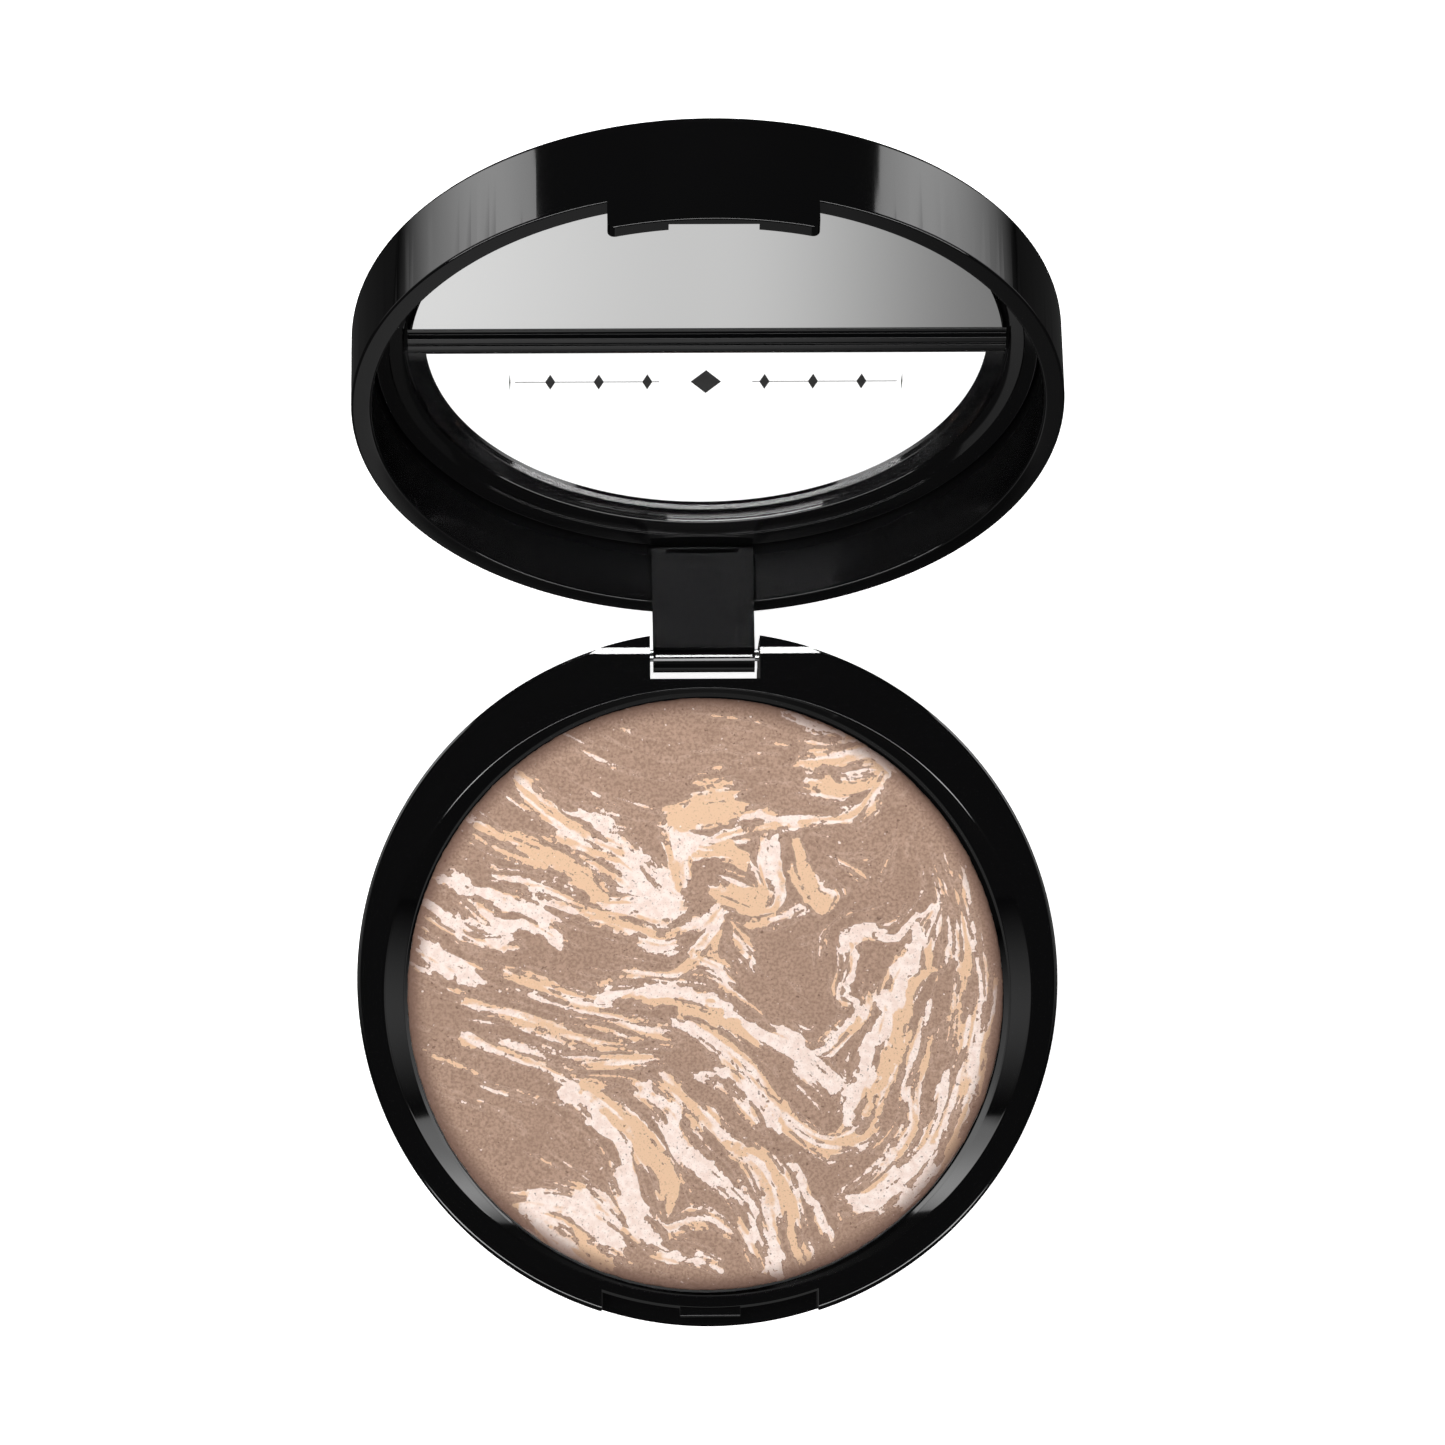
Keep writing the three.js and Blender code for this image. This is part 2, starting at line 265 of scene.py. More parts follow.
def loft(name, outlines):
    """A closed solid through outlines that all have the same number of points."""
    made = rings_object(name, outlines)
    count = len(outlines[0])
    total = len(made.data.vertices)
    caps = [tuple(reversed(range(count))), tuple(range(total - count, total))]
    vertices = [v.co / MM for v in made.data.vertices]
    faces = [tuple(p.vertices) for p in made.data.polygons] + caps
    bpy.data.objects.remove(made)
    return mesh_object(name, vertices, faces)


def plate(name, outline, z0, z1):
    """An outline of (x, y) points drawn up from z0 to z1."""
    return loft(name, [[(x, y, z) for x, y in outline] for z in (z0, z1)])


def bar_x(name, outline, x0, x1):
    """An outline of (y, z) points, counterclockwise seen from +X, drawn along X."""
    return loft(name, [[(x, y, z) for y, z in outline] for x in (x0, x1)])


def block(name, x, y, z):
    return plate(name, [(x[0], y[0]), (x[1], y[0]), (x[1], y[1]), (x[0], y[1])], z[0], z[1])


def round_bar(name, radius, x0, x1, y, z, steps=64):
    turns = [2 * math.pi * i / steps for i in range(steps)]
    return bar_x(name, [(y + radius * math.cos(t), z + radius * math.sin(t)) for t in turns], x0, x1)


def apply_modifiers(made):
    graph = bpy.context.evaluated_depsgraph_get()
    mesh = bpy.data.meshes.new_from_object(made.evaluated_get(graph))
    made.modifiers.clear()
    old = made.data
    made.data = mesh
    bpy.data.meshes.remove(old)
    return made


def soften_edges(made, width, degrees=40, segments=3):
    """Rounds the edges sharper than the angle."""
    edges = made.modifiers.new("edges", "BEVEL")
    edges.width = width * MM
    edges.segments = segments
    edges.limit_method = "ANGLE"
    edges.angle_limit = math.radians(degrees)
    return apply_modifiers(made)


def soften(made, degrees=25):
    """Shades smooth, the large faces keeping their own direction, and edges past the angle crisp.

    0 leaves every facet flat.
    """
    made.data.shade_smooth()
    made.data.set_sharp_from_angle(angle=math.radians(degrees))
    weighted = made.modifiers.new("weighted", "WEIGHTED_NORMAL")
    weighted.keep_sharp = True
    return apply_modifiers(made)


def true_walls(made, outer=0, inner=0, crisp=None):
    """Level faces and the upright round walls keep their exact direction up to their corners.

    crisp(centre) picks out more faces that are shaded flat.
    """
    mesh = made.data
    normals = [corner.vector.copy() for corner in mesh.corner_normals]
    for polygon in mesh.polygons:
        if abs(polygon.normal.z) > 0.9999 or (crisp and crisp(polygon.center / MM)):
            for corner in polygon.loop_indices:
                normals[corner] = polygon.normal.copy()
            continue
        ways = [mesh.vertices[i].co.to_2d() for i in polygon.vertices]
        for radius, sign in ((outer, 1), (inner, -1)):
            if radius and all(abs(way.length - radius * MM) < 0.02 * MM for way in ways):
                for corner, way in zip(polygon.loop_indices, ways):
                    normals[corner] = (sign * way.normalized()).to_3d()
    mesh.normals_split_custom_set(normals)


def combine(made, other, operation):
    """made joined with, cut by or kept inside other, which is used up."""
    modifier = made.modifiers.new("combine", "BOOLEAN")
    modifier.operation = operation
    modifier.solver = "MANIFOLD"
    modifier.object = other
    apply_modifiers(made)
    bpy.data.objects.remove(other)
    return made


def cut(made, other):
    return combine(made, other, "DIFFERENCE")


def join(made, other):
    return combine(made, other, "UNION")


def keep(made, other):
    return combine(made, other, "INTERSECT")


def finish_piece(made, body, material, replaces=()):
    """Gives the piece its material, its body in the frame and the CAD nodes that it stands for."""
    made.data.materials.clear()
    made.data.materials.append(material)
    if body == "lid":
        made.data.transform(LID)
    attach(made, body)
    if replaces:
        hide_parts(*replaces)


# ------------------------------------------------------------------ shading helpers


class Shading:
    """The nodes of a material or of the world, with short ways to add to them."""

    def __init__(self, tree):
        self.nodes = tree.nodes
        self.links = tree.links
        self.coordinates = None

    def fill(self, inputs, values):
        """Gives each input, by name or number, its plain value or its link from another output."""
        for key, value in values.items():
            if isinstance(value, bpy.types.NodeSocket):
                self.links.new(value, inputs[key])
            else:
                inputs[key].default_value = value

    def surface(self, values):
        self.fill(self.nodes["Principled BSDF"].inputs, values)

    def shine(self, strength):
        """Turns the material into a plain source of light."""
        self.nodes.remove(self.nodes["Principled BSDF"])
        self.fill(self.nodes["Material Output"].inputs, {0: self.add("Emission", {"Strength": strength})})

    def add(self, kind, values, output=0, **settings):
        """An output of a new node."""
        made = self.nodes.new("ShaderNode" + kind)
        for name, value in settings.items():
            setattr(made, name, value)
        self.fill(made.inputs, values)
        return made.outputs[output]

    def place(self, output="Object"):
        if self.coordinates is None:
            self.coordinates = self.nodes.new("ShaderNodeTexCoord")
        return self.coordinates.outputs[output]

    def apart(self, vector):
        split = self.nodes.new("ShaderNodeSeparateXYZ")
        self.fill(split.inputs, {0: vector})
        return split.outputs

    def noise(self, scale, detail=2, vector=None):
        where = self.place() if vector is None else vector
        return self.add("TexNoise", {"Vector": where, "Scale": scale, "Detail": detail}, "Fac")

    def ranged(self, value, low, high, to_low=0.0, to_high=1.0, shape="LINEAR"):
        return self.add("MapRange", {
            "Value": value, "From Min": low, "From Max": high, "To Min": to_low, "To Max": to_high,
        }, interpolation_type=shape)

    def eased(self, value, low, high, to_low=0.0, to_high=1.0):
        return self.ranged(value, low, high, to_low, to_high, "SMOOTHSTEP")

    def gloss(self, value, low, high):
        """A roughness that follows a noise."""
        return self.ranged(value, 0, 1, low, high)

    def maths(self, operation, *values):
        return self.add("Math", dict(enumerate(values)), operation=operation)

    def times(self, a, b):
        return self.maths("MULTIPLY", a, b)

    def layer(self, name):
        """A value that was stored on the mesh."""
        return self.add("Attribute", {}, "Fac", attribute_name=name)

    def bump(self, height, strength, distance):
        """A normal from a height, with the distance in millimetres."""
        return self.add("Bump", {"Height": height, "Strength": strength, "Distance": distance * MM})


def node_material(name):
    material = bpy.data.materials.new(name)
    material.use_nodes = True
    return material, Shading(material.node_tree)


# ------------------------------------------------------------------ camera and stage


def add_camera():
    """A long lens almost straight above, turned a little."""
    azimuth, elevation, roll = (math.radians(v) for v in (-9.386, 81.616, 9.013))
    distance = 890.07
    target = Vector((1.68, 25.62, RIM))
    back = Vector((
        math.sin(azimuth) * math.cos(elevation),
        -math.cos(azimuth) * math.cos(elevation),
        math.sin(elevation),
    ))
    right = Vector((math.cos(azimuth), math.sin(azimuth), 0))
    up = back.cross(right)
    turned_right = right * math.cos(roll) + up * math.sin(roll)
    turned_up = up * math.cos(roll) - right * math.sin(roll)
    data = bpy.data.cameras.new("camera")
    data.sensor_width = 36
    data.lens = 222.0
    data.clip_start = 0.01
    data.clip_end = 10
    camera = bpy.data.objects.new("camera", data)
    SCENE.collection.objects.link(camera)
    matrix = Matrix((turned_right, turned_up, back)).transposed().to_4x4()
    matrix.translation = (target + back * distance) * MM
    camera.matrix_world = matrix
    SCENE.camera = camera


def flat_sheet(name, half_x, half_y, z=0):
    corners = [(-half_x, -half_y, z), (half_x, -half_y, z), (half_x, half_y, z), (-half_x, half_y, z)]
    return mesh_object(name, corners, [(0, 1, 2, 3)])


def hide_from(made, *rays):
    for ray in rays:
        setattr(made, "visible_" + ray, False)


def add_floor():
    """A plain white floor, unseen in reflections and through clear sheets: the plastic stays black."""
    material, tree = node_material("floor_white")
    tree.surface({
        "Base Color": (0.9, 0.9, 0.9, 1), "Roughness": 1.0, "Specular IOR Level": 0.0,
        "Emission Color": (1, 1, 1, 1), "Emission Strength": 0.9,
    })
    floor = flat_sheet("floor", FLOOR_HALF, FLOOR_HALF, FLOOR_Z)
    floor.data.materials.append(material)
    hide_from(floor, "glossy", "diffuse", "transmission")
    floor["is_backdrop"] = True


def area_light(name, direction, distance, size, power, seen=True, size_y=None):
    """A softbox in a direction from the lamps' middle, facing it. seen=False: not in reflections."""
    data = bpy.data.lights.new(name, "AREA")
    data.energy = power
    data.shape = "RECTANGLE"
    data.size = size * MM
    data.size_y = (size_y or size) * MM
    light = bpy.data.objects.new(name, data)
    SCENE.collection.objects.link(light)
    way = Vector(direction).normalized()
    light.matrix_world = Matrix.Translation((LAMP_MIDDLE + way * distance) * MM) @ (
        way.to_track_quat("Z", "Y").to_matrix().to_4x4())
    light.visible_glossy = seen
    light.visible_camera = False


def profile(tree, value, half, stops):
    """Grey stops (position, level) across a card from -half to half, eased between."""
    ramp = tree.nodes.new("ShaderNodeValToRGB")
    ramp.color_ramp.interpolation = "EASE"
    marks = ramp.color_ramp.elements
    while len(marks) < len(stops):
        marks.new(0.5)
    for mark, (place, level) in zip(marks, stops):
        mark.position = place
        mark.color = (level, level, level, 1)
    tree.fill(ramp.inputs, {0: tree.ranged(value, -half * MM, half * MM)})
    return ramp.outputs[0]


def card(name, middle, way, half_x, half_y, strength_at):
    """A glowing card that only a reflection sees. strength_at(tree, x, y) is its light at a point."""
    material, tree = node_material(name)
    place = tree.apart(tree.place())
    tree.shine(strength_at(tree, place["X"], place["Y"]))
    sheet = flat_sheet(name, half_x, half_y)
    turned_to = way.to_track_quat("-Z", "Y").to_matrix().to_4x4()
    sheet.matrix_world = Matrix.Translation(middle * MM) @ turned_to
    sheet.data.materials.append(material)
    hide_from(sheet, "camera", "diffuse", "shadow", "transmission")
    sheet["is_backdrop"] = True


def add_mirror_card():
    """What the mirror shows: a half-moon lit from the left, on a card that is dim round it."""
    way = Vector((0.022, -0.888, -0.46)).normalized()
    middle = Vector((0, 60.1, 32.3)) + way * 250
    moon_x = 39.5
    moon_y = 23.0

    def light(tree, x, y):
        across = profile(tree, x, 40, [(0, 0.2), (0.5, 0.62), (1, 0.78)])
        x_share = tree.times(x, 1 / (moon_x * MM))
        far = tree.add("CombineXYZ", {0: x_share, 1: tree.times(y, 1 / (moon_y * MM))})
        length = tree.add("VectorMath", {0: far}, "Value", operation="LENGTH")
        upper = tree.ranged(y, -2 * MM, 0, 0.03)
        level = tree.add("Mix", {"Factor": tree.ranged(length, 1.0, 1.06), 2: upper, 3: 0.4})
        return tree.times(across, level)

    card("mirror_card", middle, way, 70, 60, light)


def add_soft_card(name, azimuth, elevation, half_x, half_y, strength, across, upright):
    """A softbox with eased edges. Its azimuth is counted from the back, +Y, towards the right."""
    azimuth = math.radians(azimuth)
    elevation = math.radians(elevation)
    way = Vector((
        math.sin(azimuth) * math.cos(elevation),
        math.cos(azimuth) * math.cos(elevation),
        math.sin(elevation),
    ))

    def light(tree, x, y):
        both = tree.times(profile(tree, x, half_x, across), profile(tree, y, half_y, upright))
        return tree.times(both, strength)

    card(name, LAMP_MIDDLE + way * LAMP_FAR, way, half_x, half_y, light)


def add_arc_light():
    """A bowed tube over the front, for the thin lines along the edges that face it."""
    material, tree = node_material("tube_light")
    tree.shine(10)
    steps = 48
    spread = 144
    points = []
    for i in range(steps + 1):
        turn = math.radians(-spread / 2 + spread * i / steps)
        for tilt in (45, 55):
            out = LAMP_FAR * math.sin(math.radians(tilt))
            y = 55 - LAMP_FAR * math.cos(math.radians(tilt))
            points.append((out * math.sin(turn), y, 35 + out * math.cos(turn)))
    faces = [(2 * i, 2 * i + 1, 2 * i + 3, 2 * i + 2) for i in range(steps)]
    tube = mesh_object("tube_light", points, faces)
    tube.data.materials.append(material)
    hide_from(tube, "camera", "diffuse", "shadow")
    tube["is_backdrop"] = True


def add_world():
    """White to the camera, also through clear sheets; to a reflection dark, and pale high in front."""
    world = bpy.data.worlds.new("studio")
    world.use_nodes = True
    tree = Shading(world.node_tree)
    way = tree.apart(tree.place("Generated"))
    front = tree.eased(way["Y"], -0.2, -0.7)
    high = tree.eased(way["Z"], 0.35, 0.7)
    glow = tree.ranged(tree.times(front, high), 0, 1, 0.035, 0.4)
    path = tree.nodes.new("ShaderNodeLightPath").outputs
    unreflected = tree.maths("LESS_THAN", path["Glossy Depth"], 0.5)
    through = tree.times(path["Is Transmission Ray"], unreflected)
    seen = tree.maths("MAXIMUM", path["Is Camera Ray"], through)
    colour = tree.add("Mix", {"Factor": seen, 2: glow, 3: 1.3})
    tree.fill(tree.nodes["Background"].inputs, {"Color": colour})
    SCENE.world = world


def add_light():
    add_world()
    SCENE.view_settings.view_transform = "Standard"
    area_light("key_top", (-0.25, -0.15, 1), 500, 420, 2.6, seen=False)
    area_light("fill_front", (0.1, -1, 0.9), 600, 500, 0.7, seen=False)
    add_arc_light()
    area_light("strip_rear", (0, 0.97, 0.25), 500, 170, 0.8, size_y=60)
    fading = [(0, 0.9), (0.12, 1.0), (0.3, 0.6), (0.55, 0.25), (1, 0.0)]
    foot_fade = [(0, 0.0), (0.55, 1.0), (0.9, 1.0), (1, 0.0)]
    mirrored = [(1 - place, level) for place, level in fading[::-1]]
    add_soft_card("card_left", -69, -8, 290, 240, 4.2, mirrored, foot_fade)
    add_soft_card("card_right", 69, -8, 290, 240, 4.2, fading, foot_fade)
    swell = [(0, 0.0), (0.5, 1.0), (1, 0.0)]
    add_soft_card("side_left", -81, 27, 190, 150, 0.75, swell, swell)
    add_soft_card("side_right", 81, 27, 190, 150, 0.75, swell, swell)


# ------------------------------------------------------------------ materials


def black_plastic():
    """Polished injection-moulded plastic: deep black, a little uneven in its gloss, satin where marked."""
    material, tree = node_material("black_plastic")
    satin = tree.layer("satin")
    tree.surface({
        "Base Color": (0.0022, 0.0022, 0.0024, 1),
        "IOR": 1.5,
        "Roughness": tree.maths("MULTIPLY_ADD", satin, 0.3, tree.gloss(tree.noise(90, 5), 0.04, 0.09)),
        "Specular IOR Level": tree.ranged(satin, 0, 1, 0.5, 0.04),
        "Normal": tree.bump(tree.noise(1400), 0.01, 0.01),
    })
    return material


def metal(name, colour, low, high, scale):
    """Satin metal with fine drawn lines along X."""
    material, tree = node_material(name)
    stretched = tree.add("Mapping", {"Vector": tree.place(), "Scale": scale})
    drawn_lines = tree.noise(400, 4, stretched)
    tree.surface({
        "Base Color": (*colour, 1),
        "Metallic": 1.0,
        "Roughness": tree.gloss(drawn_lines, low, high),
        "Normal": tree.bump(drawn_lines, 0.2, 0.01),
    })
    return material


def clear_plastic():
    """Clear moulded sheet with a breath of unevenness."""
    material, tree = node_material("clear_plastic")
    tree.surface({
        "Base Color": (1, 1, 1, 1),
        "Transmission Weight": 1.0,
        "IOR": 1.45,
        "Roughness": tree.gloss(tree.noise(60), 0.0, 0.012),
    })
    # a sheet this thin hardly dims the lamps behind it
    shadow_ray = tree.add("LightPath", {}, "Is Shadow Ray")
    sheet = tree.nodes["Principled BSDF"].outputs[0]
    mix = tree.add("MixShader", {0: shadow_ray, 1: sheet, 2: tree.add("BsdfTransparent", {})})
    tree.fill(tree.nodes["Material Output"].inputs, {0: mix})
    return material


def soft_stock(name, colour_a, colour_b, scale, roughness):
    """Paper, tape, ink or glue: mottled between two close colours, with a fine tooth."""
    material, tree = node_material(name)
    fleck = tree.noise(scale, 6)
    ramp = tree.nodes.new("ShaderNodeValToRGB")
    tree.fill(ramp.inputs, {0: fleck})
    for mark, colour in zip(ramp.color_ramp.elements, (colour_a, colour_b)):
        mark.color = (*colour, 1)
    tree.surface({
        "Base Color": ramp.outputs[0], "Roughness": roughness, "Normal": tree.bump(fleck, 0.3, 0.02),
    })
    return material


def mirror_silver():
    material, tree = node_material("mirror_silver")
    tree.surface({
        "Base Color": (0.9, 0.9, 0.895, 1),
        "Metallic": 1.0,
        "Roughness": tree.gloss(tree.noise(40), 0.03, 0.06),
    })
    return material


def pressed_powder():
    """Marbled pressed powder: brown, with ragged streaks of white and peach, grainy and matt, with painted
    shade darkening its rim.
    """
    material, tree = node_material("pressed_powder")
    noise = tree.noise
    eased = tree.eased
    maths = tree.maths

    def mixed(factor, *colours):
        a, b = (c if isinstance(c, bpy.types.NodeSocket) else (*c, 1) for c in colours)
        return tree.add("Mix", {0: factor, 6: a, 7: b}, 2, data_type="RGBA")

    grain = noise(5200, 3)
    ragged = tree.times(maths("SUBTRACT", noise(2600, 3), 0.5), 0.7)
    light = maths("ADD", tree.layer("light"), ragged)
    brown = mixed(eased(noise(3400, 4), 0.36, 0.62), BROWN_DARK, BROWN)
    brown = mixed(eased(noise(260), 0.35, 0.75, 0.0, 0.35), brown, BROWN_DARK)
    brown = mixed(eased(light, 0.1, 0.42, 0.0, 0.45), brown, TAN)
    from_edge = maths("ABSOLUTE", maths("SUBTRACT", light, 0.42))
    brown = mixed(eased(from_edge, 0.1, 0.0, 0.0, 0.75), brown, LINE)
    white = mixed(eased(noise(1500, 3), 0.3, 0.7), WHITE_DULL, WHITE)
    pale = mixed(eased(maths("ADD", tree.layer("peach"), ragged), -0.3, 0.3), white, PEACH)
    colour = mixed(eased(light, 0.47, 0.53), brown, pale)
    colour = mixed(eased(grain, 0.44, 0.26, 0.0, 0.5), colour, LINE)
    colour = mixed(eased(noise(2100, 1), 0.74, 0.8, 0.0, 0.8), colour, WHITE)
    colour = mixed(eased(noise(2300, 1), 0.3, 0.24, 0.0, 0.7), colour, PIT_AND_RIM_SHADE)
    # painted shade: the powder darkens over its last 2 mm towards the rim, where it turns down into the well
    colour = mixed(eased(tree.layer("reach"), CAKE_R - 2.2, CAKE_R - 0.2, 0.0, 0.85), colour, PIT_AND_RIM_SHADE)
    height = maths("ADD", tree.times(noise(900, 4), 0.5), tree.times(grain, 0.5))
    tree.surface({
        "Base Color": colour, "Roughness": 1.0, "Specular IOR Level": 0.1,
        "Normal": tree.bump(height, 0.9, 0.09),
    })
    return material


# ------------------------------------------------------------------ the base


def notch_cutter():
    return block("notch", (-NOTCH_HALF, NOTCH_HALF), (NOTCH_FRONT, R + 3), (-5, RIM + 5))


def side_r(z):
    """Outer radius of the base at a height: its side leans in towards the underside."""
    return FOOT_R + (R - FOOT_R) * z / RIM


def make_base_body(material):
    under = 8.3
    body = turned("base_body_shell", rounded(
        [(0, under), (HOLLOW_R, under), (HOLLOW_R, BODY_Z), (side_r(BODY_Z), BODY_Z), (R, RIM), (0, RIM)],
        [0, 0.3, 0.1, 0.3, 0.55, 0],
    ))
    housing = turned("housing", rounded([
        (0, BODY_Z), (R - 0.02, BODY_Z), (R - 0.02, RIM - 0.01), (0, RIM - 0.01),
    ], [0, 0.5, 0.5, 0]))
    keep(housing, block("housing_block", (-HOUSING_HALF, HOUSING_HALF), (HOUSING_FRONT, R + 3), (0, RIM + 1)))
    join(body, housing)
    edge = 0.22
    middle = (0, WELL_Y)
    rings = [
        circle(0, 0, WELL_FLOOR, middle),
        circle(WELL_R - 0.5, WELL_R - 0.5, WELL_FLOOR, middle),
        circle(WELL_R, WELL_R, WELL_FLOOR + 0.5, middle),
        circle(WELL_R, WELL_R, RIM - BEVEL_H - 0.08, middle),
        circle(WELL_R + 0.08, WELL_R + 0.02, RIM - BEVEL_H, middle),
    ]
    steps = 5
    slope_a = (BEVEL_A - WELL_R) / BEVEL_H
    slope_b = (BEVEL_B - WELL_R) / BEVEL_H
    for i in range(steps + 1):
        t = i / steps
        drop = edge * (1 - t) ** 2
        out = edge * 0.6 * t
        rings.append(circle(
            BEVEL_A - edge * slope_a * (1 - t) + out,
            BEVEL_B - edge * slope_b * (1 - t) + out,
            RIM - drop, middle))
    lip = edge * 0.6
    rings.append(circle(BEVEL_A + lip, BEVEL_B + lip, RIM + 4, middle))
    rings.append(circle(0, 0, RIM + 4, middle))
    cut(body, rings_object("well", rings))
    cut(body, notch_cutter())
    cut(body, bar_x("rear_fall", [
        (FALL_Y - 2, RIM + 3), (FALL_Y - 2, RIM + 0.001), (FALL_Y, RIM + 0.001),
        (HINGE.y, RIM - FALL_DEPTH), (R + 2, RIM - FALL_DEPTH), (R + 2, RIM + 3),
    ], -R, R))
    recess = block("recess", (-RECESS_HALF, RECESS_HALF), (-R - 3, 0), (RIM - RECESS_DEPTH, RIM + 3))
    soften_edges(recess, 0.25)
    cut(recess, turned("recess_wall", [(0, 0), (RECESS_R, 0), (RECESS_R, RIM + 5), (0, RIM + 5)]))
    cut(body, recess)
    join(body, make_nub())
    cut(body, round_bar("bore", PIN_R + 0.1, pin_low.x - SEAM, R + 2, HINGE.y, HINGE.z))
    soften(body)
    true_walls(body)
    finish_piece(body, "base", material, ["base_body"])


def make_nub():
    top = RIM - 0.8
    root = -RECESS_R + 0.4
    nub = bar_x("nub", rounded([
        (NUB_Y, top - 0.5), (root - 0.4, top - 1.2), (root, top - 1.2), (root, top), (NUB_Y, top),
    ], [0.1, 0, 0, 0, 0.18], closed=True), -NUB_HALF, NUB_HALF)
    return soften_edges(nub, 0.1)


def make_base_bottom(material):
    out = HOLLOW_R - SEAM
    top = BODY_Z - SEAM
    foot = 1.1
    profile = rounded([
        (0, 0.5), (LABEL_R + 0.3, 0.5), (LABEL_R + 0.3, 0), (FOOT_R - foot, 0),
        (side_r(foot), foot), (side_r(top), top),
        (out, top), (out, BOTTOM_TOP), (out - 1.5, BOTTOM_TOP), (out - 1.5, 2), (0, 2),
    ], [0, 0.1, 0.15, 0.9, 0.9, 0.25, 0.1, 0.3, 0.3, 0.3, 0])
    cover = turned("base_bottom_cover", profile)
    cut(cover, block("housing_room", (-10.8, 10.8), (28.1, R + 3), (2.9, 9)))
    cut(cover, notch_cutter())
    soften(cover, 0)
    finish_piece(cover, "base", material, ["base_bottom"])


def make_label(material):
    label = turned("base_label_disc", rounded([
        (0, 0), (LABEL_R, 0), (LABEL_R, LABEL_THICK), (0, LABEL_THICK),
    ], [0, 0.05, 0.05, 0]))
    soften(label, 0)
    finish_piece(label, "base", material, ["base_label"])


def make_pin(material):
    wire = rounded([
        (0, pin_low.x), (PIN_R, pin_low.x), (PIN_R, pin_high.x), (0, pin_high.x),
    ], [0, 0.15, 0.15, 0])
    pin = turned("hinge_pin_wire", wire, steps=48)
    along_x = Matrix.Rotation(math.pi / 2, 4, "Y")
    pin.data.transform(Matrix.Translation(Vector((0, HINGE.y, HINGE.z)) * MM) @ along_x)
    soften(pin, 0)
    finish_piece(pin, "base", material, ["hinge_pin"])


# ------------------------------------------------------------------ the powder's marbling

